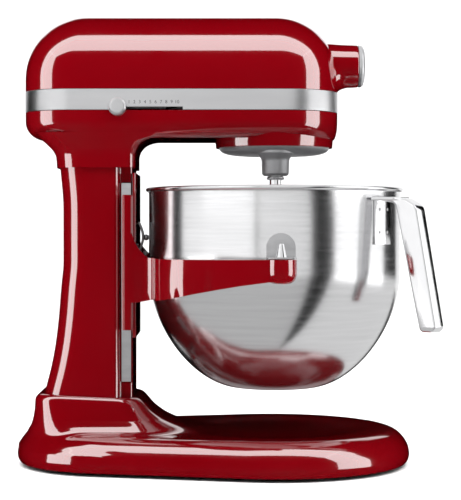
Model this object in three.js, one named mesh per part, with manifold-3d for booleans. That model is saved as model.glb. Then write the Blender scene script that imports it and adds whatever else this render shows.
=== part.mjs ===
// A bowl-lift stand mixer, in millimetres. +X is the front (bowl side), +Z is up, and the
// floor is z = 0. The right-hand side of the machine, seen from the bowl, is +Y.
import * as THREE from 'three';
import { mergeVertices } from 'three/addons/utils/BufferGeometryUtils.js';
import Module from 'manifold-3d';

const wasm = await Module();
wasm.setup();

// ---- Driving dimensions ------------------------------------------------------------------
const gap = 0.3; // between faces that meet
const wall = 3.5; // castings

const bowlAxis = 46.5; // X of the bowl and of the planetary
const hubHeight = 372.4; // Z of the attachment socket and of the lay shaft

const base = {
  bottom: 3.7, rear: { x: -99, r: 95 }, front: { x: 46.5, r: 126.5 }, footRadius: 12,
  // [height, inset from the plan outline] up the rounded edge
  edge: [[3.7, 2.6], [6.5, 0.8], [11, 0], [17, 0.9], [22, 3.2], [27, 6.8], [31.4, 12], [33.8, 18]],
  dish: 1.8,
};
const pedestal = {
  // [height, rear X, front X, half width, corner radius]
  levels: [
    [27, -187.5, 12, 79, 73], [31, -184.6, -11, 72, 62], [35, -182.2, -29, 66.4, 52],
    [40, -179, -43, 61.8, 41], [46, -176.8, -55.5, 58.4, 33], [55, -175, -67, 55.8, 26],
    [62, -174.3, -73, 54.3, 23], [65.5, -172.2, -76.5, 52.6, 21], [67.4, -168.4, -80.8, 50, 18],
  ],
  lean: -0.044, // the collar's rim falls towards the front
};
const column = {
  front: -84.4, shoulder: -96, tongueHalf: 38, half: 46,
  // [height, rear X, extra half width]
  levels: [
    [63, -167.6, 3.4], [75, -165, 2.6], [87, -161.8, 2], [106, -157.8, 1.2], [125, -155, 0.6],
    [144, -153, 0.2], [167, -151.2, 0], [190, -149.2, 0], [238, -149.2, 0], [279, -152.2, 0.8],
  ],
};
const head = {
  rear: -184.8, front: 105.3, half: 59, top: 417.4, bandLow: 327.5, bandHigh: 346.5,
  floor: 303, rearCorner: 46, frontCorner: 53,
  // [reach across, reach down] of the rounding between the top and each side
  rearTop: [54.5, 60.2], frontTop: [55, 56.4], sideTop: [55, 56],
  // reach of the lower edge's rounding: down, and in from the sides, rear and front
  lowerEdge: { from: 319, reach: 16, side: 12, rear: 15, front: 3.2 },
};
const neck = {
  // [height, rear X, front X, half width]
  levels: [
    [276, -154.8, -80.4, 50.2], [286, -155.6, -80.4, 50.2], [291.5, -158.2, -77.2, 50.6],
    [297.5, -163.8, -71.5, 52], [303.5, -170.2, -63.6, 54], [308, -174.2, -55, 55.6],
  ],
};
const ringHousing = { r: 55.2, low: 295.3, high: 314, mouth: 52.3, bore: 50.7, seat: 298.8 };
const hub = { rootX: 92.6, rootR: 21.4, endX: 124.6, endR: 19.6, capX: 131.4, bore: 12.4 };
const hubKnob = { x: 115, r: 8.4, from: 22, to: 34.5 };

const orbit = 33; // planetary axis to agitator axis
const ringTeeth = 30;
const planetTeeth = 8;
const planetModule = 3;
const bevel = { gearTeeth: 24, pinionTeeth: 8, module: 2.4, face: 8 };
const spur = { gearTeeth: 24, pinionTeeth: 8, module: 1.875, x: -46, width: 10 };
const motorHeight = hubHeight - (spur.module * (spur.gearTeeth + spur.pinionTeeth)) / 2;

const bowl = {
  r: 117.5, skin: 1.2, floor: 72, flat: 38, shoulder: 182, rim: 258.5, beadR: 2.2,
};
const yoke = {
  front: -81, back: -84, rear: -93.6, plateHalf: 46, low: 121, high: 271,
  railFront: -83.4, railIn: 40, railOut: 51, railLow: 128, railHigh: 251, chamfer: 2,
  armRoot: 44, armTop: 193.6, armIn: 119.2, armOut: 136.5, tipX: 58, tipR: 6,
  // the outer side of an arm, from its straight part back to the rail: [X, distance from Y = 0]
  flare: [
    [-9.6, 136.5], [-22, 135.2], [-35.9, 130.4], [-45, 124], [-52, 116.6], [-57.5, 108], [-61, 98],
    [-62.4, 86], [-62.3, 66], [-64.3, 57.6], [-68.5, 53.2], [-74, 51.2], [-78.5, 51],
  ],
  pinX: 48, pinY: 127.5, lugR: 13.4, lugLow: 172.6,
};
const handle = { azimuth: THREE.MathUtils.degToRad(-37), width: 16.5, tabWidth: 25.4 };
const speed = { knobX: -97, z: 330.2, travel: 55, knobR: 8.2, slotTop: 330.4 };
const gland = { x: -140, z: 286.5, r: 6 };
const lever = { x: -120, z: 200, length: 72, y: 55 };

// ---- Solids ------------------------------------------------------------------------------
// A closed geometry as a solid, with its faces turned out if the profile ran the other way.
function solid(geometry) {
  geometry.deleteAttribute('normal');
  geometry.deleteAttribute('uv');
  const merged = mergeVertices(geometry, 1e-4);
  const points = merged.attributes.position;
  const corner = [new THREE.Vector3(), new THREE.Vector3(), new THREE.Vector3()];
  const kept = [];
  let volume = 0;
  for (let i = 0; i < merged.index.count; i += 3) {
    const abc = [0, 1, 2].map((k) => merged.index.getX(i + k));
    if (new Set(abc).size < 3) continue;
    abc.forEach((v, k) => corner[k].fromBufferAttribute(points, v));
    volume += corner[0].dot(corner[1].clone().cross(corner[2]));
    kept.push(abc);
  }
  const triVerts = new Uint32Array(kept.flatMap((t) => (volume > 0 ? t : [t[0], t[2], t[1]])));
  const vertProperties = new Float32Array(points.array);
  return new wasm.Manifold(new wasm.Mesh({ numProp: 3, vertProperties, triVerts }));
}

function geometryOf(body) {
  const mesh = body.getMesh();
  const geometry = new THREE.BufferGeometry();
  geometry.setAttribute('position', new THREE.BufferAttribute(mesh.vertProperties, 3));
  geometry.setIndex(new THREE.BufferAttribute(mesh.triVerts, 1));
  geometry.computeVertexNormals();
  return geometry;
}

const join = (...bodies) => bodies.reduce((sum, body) => sum.add(body));
const cut = (body, ...tools) => tools.reduce((rest, tool) => rest.subtract(tool), body);

function box(x0, x1, y0, y1, z0, z1) {
  const g = new THREE.BoxGeometry(x1 - x0, y1 - y0, z1 - z0);
  return solid(g.translate((x0 + x1) / 2, (y0 + y1) / 2, (z0 + z1) / 2));
}

// A round bar or cone from one point to another.
function rod(from, to, r, segments = 16, rEnd = r) {
  const start = new THREE.Vector3(...from);
  const way = new THREE.Vector3(...to).sub(start);
  const g = new THREE.CylinderGeometry(rEnd, r, way.length(), segments);
  g.translate(0, way.length() / 2, 0);
  g.applyQuaternion(
    new THREE.Quaternion().setFromUnitVectors(new THREE.Vector3(0, 1, 0), way.normalize()));
  return solid(g.translate(start.x, start.y, start.z));
}

// A turned shape about a vertical axis at (x, y): profile points are [radius, z].
function turned(profile, x, y, segments = 32) {
  const g = new THREE.LatheGeometry(profile.map(([r, z]) => new THREE.Vector2(r, z)), segments);
  return solid(g.rotateX(Math.PI / 2).translate(x, y, 0));
}

// A turned shape about an axis along X: profile points are [radius, x].
function turnedX(profile, y, z, segments = 24) {
  const g = new THREE.LatheGeometry(profile.map(([r, x]) => new THREE.Vector2(r, x)), segments);
  return solid(g.rotateZ(-Math.PI / 2).translate(0, y, z));
}

function outline(points) {
  return new THREE.Shape(points.map(([a, b]) => new THREE.Vector2(a, b)));
}

function extrude(shape, depth, curveSegments = 8) {
  return new THREE.ExtrudeGeometry(shape, { depth, bevelEnabled: false, curveSegments });
}

const plateZ = (shape, z0, z1) => solid(extrude(shape, z1 - z0).translate(0, 0, z0));

// A shape drawn in X and Z, from y0 to y1.
function plateY(shape, y0, y1) {
  return solid(extrude(shape, y1 - y0).rotateX(Math.PI / 2).translate(0, y1, 0));
}

// A closed skin over rings of points that run the same way round, with flat or fanned ends.
function loft(rings) {
  const n = rings[0].length;
  const points = rings.flat();
  const faces = [];
  for (let k = 0; k + 1 < rings.length; k += 1) {
    for (let i = 0; i < n; i += 1) {
      const a = k * n + i;
      const b = k * n + ((i + 1) % n);
      faces.push(a, b, b + n, a, b + n, a + n);
    }
  }
  for (const [k, turn] of [[0, true], [rings.length - 1, false]]) {
    const ring = rings[k];
    points.push([0, 1, 2].map((c) => ring.reduce((sum, p) => sum + p[c], 0) / n));
    for (let i = 0; i < n; i += 1) {
      const a = k * n + i;
      const b = k * n + ((i + 1) % n);
      faces.push(points.length - 1, ...(turn ? [b, a] : [a, b]));
    }
  }
  const g = new THREE.BufferGeometry();
  g.setAttribute('position', new THREE.Float32BufferAttribute(points.flat(), 3));
  g.setIndex(faces);
  return solid(g);
}

// A polygon [[x, y], ...] with each corner rounded to its own radius, as [x, y] points.
function rounded(corners, radii, steps = 5) {
  const ring = [];
  corners.forEach(([x, y], i) => {
    const here = new THREE.Vector2(x, y);
    const last = new THREE.Vector2(...corners.at(i - 1)).sub(here).normalize();
    const next = new THREE.Vector2(...corners[(i + 1) % corners.length]).sub(here).normalize();
    const half = Math.acos(THREE.MathUtils.clamp(last.dot(next), -1, 1)) / 2;
    const r = radii[i];
    const centre = last.clone().add(next).normalize().multiplyScalar(r / Math.sin(half)).add(here);
    const from = last.multiplyScalar(r / Math.tan(half)).add(here).sub(centre);
    const to = next.multiplyScalar(r / Math.tan(half)).add(here).sub(centre);
    const sweep = from.angleTo(to) * Math.sign(from.cross(to));
    for (let k = 0; k <= steps; k += 1) {
      const p = from.clone().rotateAround(new THREE.Vector2(), (sweep * k) / steps).add(centre);
      ring.push([p.x, p.y]);
    }
  });
  return ring;
}

const atHeight = (ring, z) => ring.map(([x, y]) => [x, y, z]);

// A rectangle in plan, symmetric about Y = 0, with rounded rear and front corners.
function planRectangle(rear, front, half, rearR, frontR = rearR, steps = 5) {
  const corners = [[rear, -half], [front, -half], [front, half], [rear, half]];
  return rounded(corners, [rearR, frontR, frontR, rearR], steps);
}

// ---- Gears -------------------------------------------------------------------------------
// Straight-flanked teeth, slightly thin so that every pair runs with backlash. 'phase' is the
// direction of one tooth's middle, in radians.
function gearRing(teeth, module, phase, { tip = 0.85, root = 1.15, thick = 0.19 } = {}) {
  const pitch = (2 * Math.PI) / teeth;
  const r = (module * teeth) / 2;
  const tooth = [[-thick - 0.1, -root], [-thick + 0.09, tip], [thick - 0.09, tip], [thick + 0.1, -root]];
  const ring = [];
  for (let t = 0; t < teeth; t += 1) {
    for (const [along, out] of tooth) {
      const a = phase + (t + along) * pitch;
      ring.push([(r + out * module) * Math.cos(a), (r + out * module) * Math.sin(a)]);
    }
  }
  return ring;
}

function spurGear(teeth, module, phase, width, bore) {
  const shape = outline(gearRing(teeth, module, phase));
  shape.holes.push(new THREE.Path().absarc(0, 0, bore, 0, 2 * Math.PI));
  return extrude(shape, width);
}

// A bevel gear with its apex at the origin and its axis along -Z. Tooth height runs square to
// the pitch cone, and the teeth shrink towards the apex.
function bevelGear(teeth, mate, phase, bore) {
  const { module, face } = bevel;
  const r = (module * teeth) / 2;
  const axial = (module * mate) / 2; // apex to the pitch circle's plane
  const cone = Math.atan2(r, axial);
  const shrink = 1 - face / Math.hypot(r, axial);
  const back = gearRing(teeth, module, phase).map(([x, y]) => {
    const height = Math.hypot(x, y) - r;
    const scale = (r + height * Math.cos(cone)) / (r + height);
    return [x * scale, y * scale, -axial + height * Math.sin(cone)];
  });
  const front = back.map((p) => p.map((c) => c * shrink));
  return cut(loft([back, front]), rod([0, 0, -axial - 9], [0, 0, 0], bore, 16));
}

// ---- Assembly ----------------------------------------------------------------------------
const finishes = {
  enamel: { color: 0x8c000e, roughness: 0.12, metalness: 0 },
  satin: { color: 0xbdbdc0, roughness: 0.35, metalness: 1 },
  castGrey: { color: 0x939396, roughness: 0.45, metalness: 0.6 },
  polished: { color: 0xd8d8dc, roughness: 0.12, metalness: 1 },
  brushed: { color: 0xcccccf, roughness: 0.28, metalness: 1 },
  steel: { color: 0xa6a8ab, roughness: 0.4, metalness: 1 },
  brass: { color: 0xb08d3c, roughness: 0.35, metalness: 1 },
  copper: { color: 0x9a4a2a, roughness: 0.4, metalness: 0.8 },
  rubber: { color: 0x1c1c1d, roughness: 0.85, metalness: 0 },
  blackPlastic: { color: 0x232326, roughness: 0.5, metalness: 0 },
  greenBoard: { color: 0x1f5a38, roughness: 0.6, metalness: 0 },
};
const group = new THREE.Group();

function part(name, body, finish) {
  const mesh = new THREE.Mesh(geometryOf(body), new THREE.MeshStandardMaterial(finishes[finish]));
  mesh.name = name;
  group.add(mesh);
}

// ---- Base --------------------------------------------------------------------------------
// The plan outline: a small circle at the rear and a large one at the front, joined by their
// common tangents and drawn in by 'inset'.
function baseRing(inset, z, steps = 12) {
  const { rear, front } = base;
  const lean = Math.asin((front.r - rear.r) / (front.x - rear.x));
  const ring = [];
  for (const [circle, from, to] of [
    [front, -Math.PI / 2 - lean, Math.PI / 2 + lean],
    [rear, Math.PI / 2 + lean, (3 * Math.PI) / 2 - lean],
  ]) {
    for (let k = 0; k <= steps; k += 1) {
      const a = from + ((to - from) * k) / steps;
      ring.push([circle.x + (circle.r - inset) * Math.cos(a), (circle.r - inset) * Math.sin(a), z]);
    }
  }
  return ring;
}

function pedestalLoft(inset, lower = 0) {
  return loft(pedestal.levels.map(([z, rear, front, half, r]) => {
    const ring = planRectangle(rear + inset, front - inset, half - inset, r - inset * 0.6);
    const lean = pedestal.lean * THREE.MathUtils.smoothstep(z, 35, 66);
    return ring.map(([x, y]) => [x, y, z - lower + lean * (x + 125)]);
  }));
}

const footPlaces = [[-150, -52], [-150, 52], [70, -98], [70, 98]];

function makeBase() {
  const slab = loft(base.edge.map(([z, inset]) => baseRing(inset, z)));
  const dish = turned([[0, 34 - base.dish], [60, 34 - base.dish], [96, 35], [0, 35]], bowlAxis, 0, 32);
  const shell = join(cut(slab, dish), pedestalLoft(0));
  const hollow = loft([baseRing(7, base.bottom - 1, 6), baseRing(9, 20, 6), baseRing(24, 26, 6)]);
  const bosses = footPlaces.map(([x, y]) => rod([x, y, base.bottom - 1], [x, y, 27], 14, 16));
  const throat = loft([atHeight(planRectangle(-160, -92, 42, 14, 10, 3), 20),
    atHeight(planRectangle(-160, -92, 42, 14, 10, 3), 58)]);
  const socket = columnLoft(-0.4, 62.7, 90);
  part('base_casting', cut(shell, cut(hollow, ...bosses), throat, socket), 'enamel');
  footPlaces.forEach(([x, y], i) => {
    const r = base.footRadius;
    const profile = [[0, 0], [r - 1, 0], [r, 1], [r, base.bottom - gap], [0, base.bottom - gap]];
    part(`rubber_foot_${i + 1}`, turned(profile, x, y, 20), 'rubber');
  });
}

// ---- Column ------------------------------------------------------------------------------
// The column's outline at one height: a body with rounded rear corners and a narrower tongue
// in front, which the yoke's rails run beside.
function columnRing(rear, extra, inset) {
  const half = column.half + extra - inset;
  const tongue = column.tongueHalf - inset;
  const front = column.front - inset;
  const shoulder = column.shoulder - inset;
  const corners = [
    [rear + inset, -half], [shoulder, -half], [shoulder, -tongue], [front, -tongue],
    [front, tongue], [shoulder, tongue], [shoulder, half], [rear + inset, half],
  ];
  const r = Math.max(24 - inset, 6);
  return rounded(corners, [r, 4, 1.5, 3, 3, 1.5, 4, r], 3);
}

function columnAt(z) {
  const { levels } = column;
  const clamped = THREE.MathUtils.clamp(z, levels[0][0] + 0.01, levels.at(-1)[0]);
  const above = levels.findIndex((level) => level[0] >= clamped);
  const [z0, rear0, extra0] = levels[above - 1];
  const [z1, rear1, extra1] = levels[above];
  const t = (clamped - z0) / (z1 - z0);
  return [rear0 + (rear1 - rear0) * t, extra0 + (extra1 - extra0) * t];
}

function columnLoft(inset, low, high, every = 1) {
  const inside = column.levels.map(([z]) => z).filter((z, i) => z > low && z < high && i % every === 0);
  return loft([low, ...inside, high].map((z) => atHeight(columnRing(...columnAt(z), inset), z)));
}

function makeColumn() {
  const outer = columnLoft(0, 63, 279);
  const bore = columnLoft(5, 62, 280, 4);
  const leverHole = rod([lever.x, 30, lever.z], [lever.x, 60, lever.z], 5.4, 20);
  const tracks = [-1, 1].map((side) => box(-95, -85.2, ...ordered(36.6 * side, 39 * side), 79, 263));
  part('column_casting', cut(outer, bore, leverHole, ...tracks), 'enamel');
  for (const [name, side] of [['left', -1], ['right', 1]]) {
    const y = ordered(36.6 * side + gap * side, 38.8 * side);
    part(`guide_track_${name}`, box(-94.6, -86, ...y, 80, 262), 'steel');
  }
}

function ordered(a, b) {
  return a < b ? [a, b] : [b, a];
}

// ---- Head --------------------------------------------------------------------------------
// How far a rounded edge has drawn in at a distance past its start, on an ellipse.
function drawnIn(past, across, along) {
  const t = THREE.MathUtils.clamp(past / along, 0, 1);
  return across * (1 - Math.sqrt(1 - t * t));
}

// The upper head's plan at height z, 'skin' inside its surface.
function upperRing(z, skin) {
  const edge = ([across, down]) => drawnIn(z - (head.top - down), across - skin, down - skin);
  const half = head.half - skin - edge(head.sideTop);
  const rearR = Math.min(head.rearCorner - skin - edge(head.rearTop) * 0.6, half - 0.5);
  const frontR = Math.min(head.frontCorner - skin - edge(head.frontTop) * 0.8, half - 0.5);
  const rear = head.rear + skin + edge(head.rearTop);
  return atHeight(planRectangle(rear, head.front - skin - edge(head.frontTop), half, rearR, frontR), z);
}

// The lower head's plan at height z: its lower edge is rounded, least at the front.
function lowerRing(z, skin) {
  const { lowerEdge } = head;
  const under = drawnIn(lowerEdge.from - z, 1, lowerEdge.reach);
  const half = head.half - skin - lowerEdge.side * under;
  const rear = head.rear + skin + lowerEdge.rear * under;
  const front = head.front - skin - lowerEdge.front * under;
  const rearR = Math.min(head.rearCorner - skin, half - 0.5);
  const frontR = Math.min(head.frontCorner - skin, half - 0.5);
  return atHeight(planRectangle(rear, front, half, rearR, frontR), z);
}

function makeHead() {
  const { bandLow, bandHigh, top, floor, half } = head;
  const levels = [bandHigh + gap, 360, 371, 381, 390, 398, 405, 410.5, 414.2, 416.6, top];
  const upper = loft(levels.map((z) => upperRing(z, 0)));
  const inside = [345, 360, 373, 385, 396, 404, 410, top - wall];
  const upperHollow = loft(inside.map((z) => upperRing(z, wall)));
  const socket = turnedX([[0, hub.rootX], [hub.rootR, hub.rootX], [hub.endR, hub.endX], [0, hub.endX]],
    0, hubHeight, 32);
  const socketBore = rod([80, 0, hubHeight], [130, 0, hubHeight], hub.bore, 32);
  const knobBore = rod([hubKnob.x, 10, hubHeight], [hubKnob.x, 30, hubHeight], 3.6);
  const upperShell = join(cut(upper, upperHollow), socket);
  part('upper_head_housing', cut(upperShell, socketBore, knobBore), 'enamel');

  const ring = ringHousing;
  const belly = loft([floor, 304.2, 306.5, 310, 314, 319, bandLow - gap].map((z) => lowerRing(z, 0)));
  const neckRings = neck.levels.map(
    ([z, rear, front, width]) => atHeight(planRectangle(rear, front, width, 26, 8), z));
  const drum = turned([[0, ring.low], [ring.r - 0.7, ring.low], [ring.r, ring.low + 0.7],
    [ring.r, ring.high], [0, ring.high]], bowlAxis, 0, 40);
  const bellyHollow = loft([floor + wall, 310, 314, 319, bandLow + 1].map((z) => lowerRing(z, wall)));
  const seatRing = planRectangle(-152.8, -83.6, 47.4, 22, 3);
  const seat = loft([atHeight(seatRing, 275), atHeight(seatRing, 279.3)]);
  const passageRing = planRectangle(-147.4, -90, 42, 14, 8);
  const passage = loft([atHeight(passageRing, 275), atHeight(passageRing, 312)]);
  const mouth = turned([[0, ring.low - 1], [ring.mouth, ring.low - 1], [ring.mouth, ring.seat],
    [ring.bore, ring.seat], [ring.bore, 316], [0, 316]], bowlAxis, 0, 36);
  const glandBore = rod([gland.x, 40, gland.z], [gland.x, 60, gland.z], 6.5, 20);
  const lower = join(belly, loft(neckRings), drum);
  part('lower_head_housing', cut(lower, bellyHollow, seat, passage, mouth, glandBore), 'enamel');

  const outerBand = upperRing(340, -0.3).map(([x, y]) => [x, y]);
  const innerBand = upperRing(340, 3).map(([x, y]) => [x, y]);
  const bandShape = outline(outerBand);
  bandShape.holes.push(new THREE.Path(innerBand.map(([x, y]) => new THREE.Vector2(x, y))));
  const slot = box(speed.knobX - 4, speed.knobX + speed.travel + 4, -half - 3, -half + 8,
    bandLow - 1, speed.slotTop);
  part('trim_band', cut(plateZ(bandShape, bandLow, bandHigh), slot), 'satin');

  const { r } = gland;
  const bush = turned([[r / 2, -6.6], [r, -6.6], [r, 1], [r + 1.6, 1], [r + 1.6, 3], [r, 4], [r - 1, 10],
    [r / 2, 10], [r / 2, -6.6]], 0, 0, 20);
  part('cord_gland', bush.rotate([-90, 0, 0]).translate([gland.x, 50.4, gland.z]), 'rubber');
}

// ---- Gearbox and motor -------------------------------------------------------------------
function tube(x, y, z0, z1, inner, outer, segments = 24) {
  return turned([[inner, z0], [outer, z0], [outer, z1], [inner, z1], [inner, z0]], x, y, segments);
}

// The same along X, about the height given.
function tubeX(x0, x1, z, inner, outer, segments = 20) {
  return turnedX([[inner, x0], [outer, x0], [outer, x1], [inner, x1], [inner, x0]], 0, z, segments);
}

const shaftR = 6;
const fit = 0.2; // radial clearance of a shaft in its bore

function makeGearbox() {
  const plate = plateZ(outline(planRectangle(-44, 90, 42, 8, 30, 4)), 316.4, 320);
  const legs = [[-37, -35], [-37, 35], [-4, -35], [-4, 35]].map(
    ([x, y]) => rod([x, y, 306.8], [x, y, 317], 5, 8));
  const walls = [[-33, -27, 20, 390], [6, 11, 13, 384], [84, 89, 14, 386]].map(
    ([x0, x1, half, top]) => box(x0, x1, -half, half, 319, top));
  const hubTube = tube(bowlAxis, 0, 300.8, 350, 13.3, 17.4);
  const centreHole = rod([bowlAxis, 0, 310], [bowlAxis, 0, 325], 13.3, 32);
  const layHole = rod([-40, 0, hubHeight], [95, 0, hubHeight], shaftR + 2 * fit, 24);
  const body = cut(join(plate, ...legs, ...walls), centreHole, layHole);
  part('gearbox_frame', join(body, hubTube), 'castGrey');
  part('lower_centre_bearing', tube(bowlAxis, 0, 301.5, 309, shaftR + 2 * fit, 13), 'steel');
  part('upper_centre_bearing', tube(bowlAxis, 0, 341, 348.5, shaftR + 2 * fit, 13), 'steel');

  const disc = new THREE.Shape().absarc(0, 0, 50.3, 0, 2 * Math.PI);
  const spaces = gearRing(ringTeeth, planetModule, -Math.PI / 2, { tip: 1.15, root: 0.85, thick: 0.31 });
  disc.holes.push(new THREE.Path(spaces.map(([x, y]) => new THREE.Vector2(x, y))));
  const ringGear = extrude(disc, 11.4, 24).translate(bowlAxis, 0, 299.2);
  part('ring_gear', solid(ringGear), 'steel');
}

function makeMotor() {
  const z = motorHeight;
  const bars = [[-166, -160], [-60, -54]].map(([x0, x1]) => box(x0, x1, -36, 36, z - 12, z + 12));
  const sides = [-36, 33.4].map((y) => box(-166, -54, y, y + 2.6, z - 12, z + 12));
  const feet = [[-166, -160], [-60, -54]].map(([x0, x1]) => box(x0, x1, -14, 14, 306.8, z));
  const shaftHole = rod([-170, 0, z], [-50, 0, z], 4 + 2 * fit, 20);
  part('motor_frame', cut(join(...bars, ...sides, ...feet), shaftHole), 'castGrey');
  part('motor_stator', tubeX(-140, -86, z, 21.2, 33), 'steel');
  part('motor_shaft', rod([-174, 0, z], [-35, 0, z], 4, 16), 'steel');
  part('motor_armature', tubeX(-138, -88, z, 4 + fit, 20.4), 'copper');
  part('commutator', tubeX(-157, -147, z, 4 + fit, 11.5), 'copper');
  const blades = [...Array(6).keys()].map((k) => {
    const g = new THREE.BoxGeometry(8, 15, 1.6).translate(-72.5, 15.5, 0);
    return solid(g.rotateX((k * Math.PI) / 3).translate(0, 0, z));
  });
  const fanDisc = tubeX(-80, -77, z, 4 + fit, 24);
  const fanHub = tubeX(-78, -68, z, 4 + fit, 10);
  part('cooling_fan', join(fanDisc, fanHub, ...blades), 'blackPlastic');
  for (const [name, y0, y1] of [['left', -25, -12.2], ['right', 12.2, 25]]) {
    part(`brush_holder_${name}`, box(-156, -148, y0, y1, z - 5, z + 5), 'brass');
  }
  const { pinionTeeth, gearTeeth, module, x, width } = spur;
  const alongX = (g, height) => solid(g.rotateY(Math.PI / 2).translate(x, 0, height));
  part('motor_pinion', alongX(spurGear(pinionTeeth, module, 0, width, 4 + fit), z), 'steel');
  const layGear = spurGear(gearTeeth, module, Math.PI / gearTeeth, width, shaftR + fit);
  part('lay_gear', alongX(layGear, hubHeight), 'steel');
  part('control_board', box(-30, 30, -52, -49.6, 322, 352), 'greenBoard');
}

function makeDrive() {
  const apex = [bowlAxis, 0, hubHeight];
  const { gearTeeth, pinionTeeth } = bevel;
  const halfTooth = Math.PI / gearTeeth;
  const large = bevelGear(gearTeeth, pinionTeeth, Math.PI + halfTooth, shaftR + fit).translate(apex);
  const backing = tube(bowlAxis, 0, 352, 361.6, shaftR + fit, 20);
  part('centre_bevel_gear', join(large, backing), 'steel');
  part('centre_shaft', rod([bowlAxis, 0, 290.8], [bowlAxis, 0, 364], shaftR, 20), 'steel');
  const pinion = bevelGear(pinionTeeth, gearTeeth, 0, 4.4);
  part('drive_bevel_pinion', pinion.rotate([0, 90, 0]).translate(apex), 'steel');
  part('hub_bevel_pinion', pinion.rotate([0, -90, 0]).translate(apex), 'steel');
  const layProfile = [[0, -47.5], [shaftR, -47.5], [shaftR, 15.5], [4.2, 15.5], [4.2, 26], [0, 26]];
  part('lay_shaft', turnedX(layProfile, 0, hubHeight, 20), 'steel');
  const shaft = turnedX([[0, 67], [4.2, 67], [4.2, 77.6], [shaftR, 77.6], [shaftR, 97], [9.2, 97],
    [9.2, 122], [0, 122]], 0, hubHeight, 24);
  part('hub_shaft', cut(shaft, box(102, 123, -4.8, 4.8, hubHeight - 4.8, hubHeight + 4.8)), 'steel');
  part('hub_sleeve', tubeX(100, 124.3, hubHeight, 9.7, 12.1, 32), 'steel');
  const { capX, endX, endR } = hub;
  const capProfile = [[0, endX + gap], [endR, endX + gap], [endR, 127.4], [endR - 1.2, 129.2],
    [15, 130.8], [9, capX], [0, capX]];
  part('hub_cap', turnedX(capProfile, 0, hubHeight, 32), 'satin');
  const { x, r, from, to } = hubKnob;
  const flutes = [...Array(8).keys()].map((k) => {
    const a = (k * Math.PI) / 4;
    const [fx, fz] = [x + (r + 0.6) * Math.cos(a), hubHeight + (r + 0.6) * Math.sin(a)];
    return rod([fx, from - 1, fz], [fx, to + 1, fz], 1.8, 6);
  });
  const grip = cut(rod([x, from, hubHeight], [x, to, hubHeight], r, 24, r - 0.6), ...flutes);
  part('hub_knob', join(grip, rod([x, 12.8, hubHeight], [x, from + 1, hubHeight], 3.2)), 'blackPlastic');
}

function makePlanetary() {
  const y = -orbit;
  const dish = turned([[0, 288.4], [38, 288.8], [45.5, 289.7], [49.4, 291.6], [51.4, 295], [51.6, 298],
    [0, 298]], bowlAxis, 0, 36);
  const boss = turned([[0, 268.6], [10.2, 268.6], [12.2, 270.6], [12.4, 280], [12.7, 284.5], [14, 287.4],
    [16.8, 289.3], [16.8, 292], [0, 292]], bowlAxis, y, 24);
  const shaftBore = rod([bowlAxis, y, 260], [bowlAxis, y, 300], 6.1, 24);
  const centreBore = rod([bowlAxis, 0, 290.5], [bowlAxis, 0, 300], shaftR + fit, 20);
  part('planetary_carrier', cut(join(dish, boss), shaftBore, centreBore), 'castGrey');

  const pinX = 8.4;
  const cross = rod([bowlAxis - 20, y, 244], [bowlAxis + 20, y, 244], 2.2, 12);
  const shaft = rod([bowlAxis, y, 229], [bowlAxis, y, 311.6], 5.6, 24);
  part('agitator_shaft', cut(shaft, cross), 'polished');
  part('drive_pin', rod([bowlAxis - pinX, y, 244], [bowlAxis + pinX, y, 244], 1.9, 12), 'polished');
  const ringProfile = [[5.9, 264.9], [7.4, 265], [8.2, 266.6], [7.4, 268.1], [5.9, 268.2], [5.9, 264.9]];
  part('shaft_ring', turned(ringProfile, bowlAxis, y, 32), 'polished');
  const planet = spurGear(planetTeeth, planetModule, -Math.PI / 2, 10, 5.6 + fit);
  part('planet_pinion', solid(planet.translate(bowlAxis, y, 300)), 'steel');

  const face = new THREE.Shape();
  face.moveTo(16, 97);
  face.bezierCurveTo(44, 104, 66, 128, 68, 168);
  face.bezierCurveTo(69, 200, 40, 214, 9, 224);
  face.lineTo(-9, 224);
  face.bezierCurveTo(-40, 214, -69, 200, -68, 168);
  face.bezierCurveTo(-66, 128, -44, 104, -16, 97);
  // two openings on each side of the middle bar, above and below a slanting one
  const windows = [-1, 1].flatMap((side) => [
    [[5, 109], [15, 107], [38, 122], [54, 146], [5, 172]],
    [[5, 183], [57, 154], [58.5, 172], [50, 190], [5, 213]],
  ].map((points) => new THREE.Path(points.map(([x, z]) => new THREE.Vector2(side * x, z)))));
  face.holes.push(...windows);
  const paddle = plateY(face, -4.5, 4.5).translate([bowlAxis, y, 0]);
  const collar = turned([[0, 216], [8, 216], [10.4, 222], [10.4, 256.8], [0, 256.8]], bowlAxis, y, 28);
  const bore = rod([bowlAxis, y, 228.6], [bowlAxis, y, 258], 5.95, 24);
  const bayonet = [-1, 1].map((side) => box(...ordered(bowlAxis, bowlAxis + 12 * side),
    ...ordered(y - 2.4 * side, y + 7 * side), 241.8, 246.2));
  const entry = [-1, 1].map((side) => box(...ordered(bowlAxis, bowlAxis + 12 * side),
    ...ordered(y + 2.6 * side, y + 7 * side), 242, 258));
  part('flat_beater', cut(join(paddle, collar), bore, ...bayonet, ...entry), 'satin');
}

// ---- Speed control -----------------------------------------------------------------------
function makeSpeedControl() {
  const { knobX, z, knobR, slotTop } = speed;
  const face = head.half;
  const knob = turned([[0, 0.5], [knobR, 0.5], [knobR, 5.5], [knobR - 1.4, 7.4], [0, 8]], 0, 0, 32)
    .rotate([90, 0, 0]).translate([knobX, -face, z]);
  const stem = box(knobX - 2, knobX + 2, -face - 2, -face + 5, slotTop - 2.3, slotTop - 0.4);
  part('speed_knob', join(knob, stem), 'satin');
  part('speed_slider', box(knobX - 8, knobX + 8, -face + 5.3, -face + 7.5, z - 6, z + 6), 'blackPlastic');
}

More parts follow.
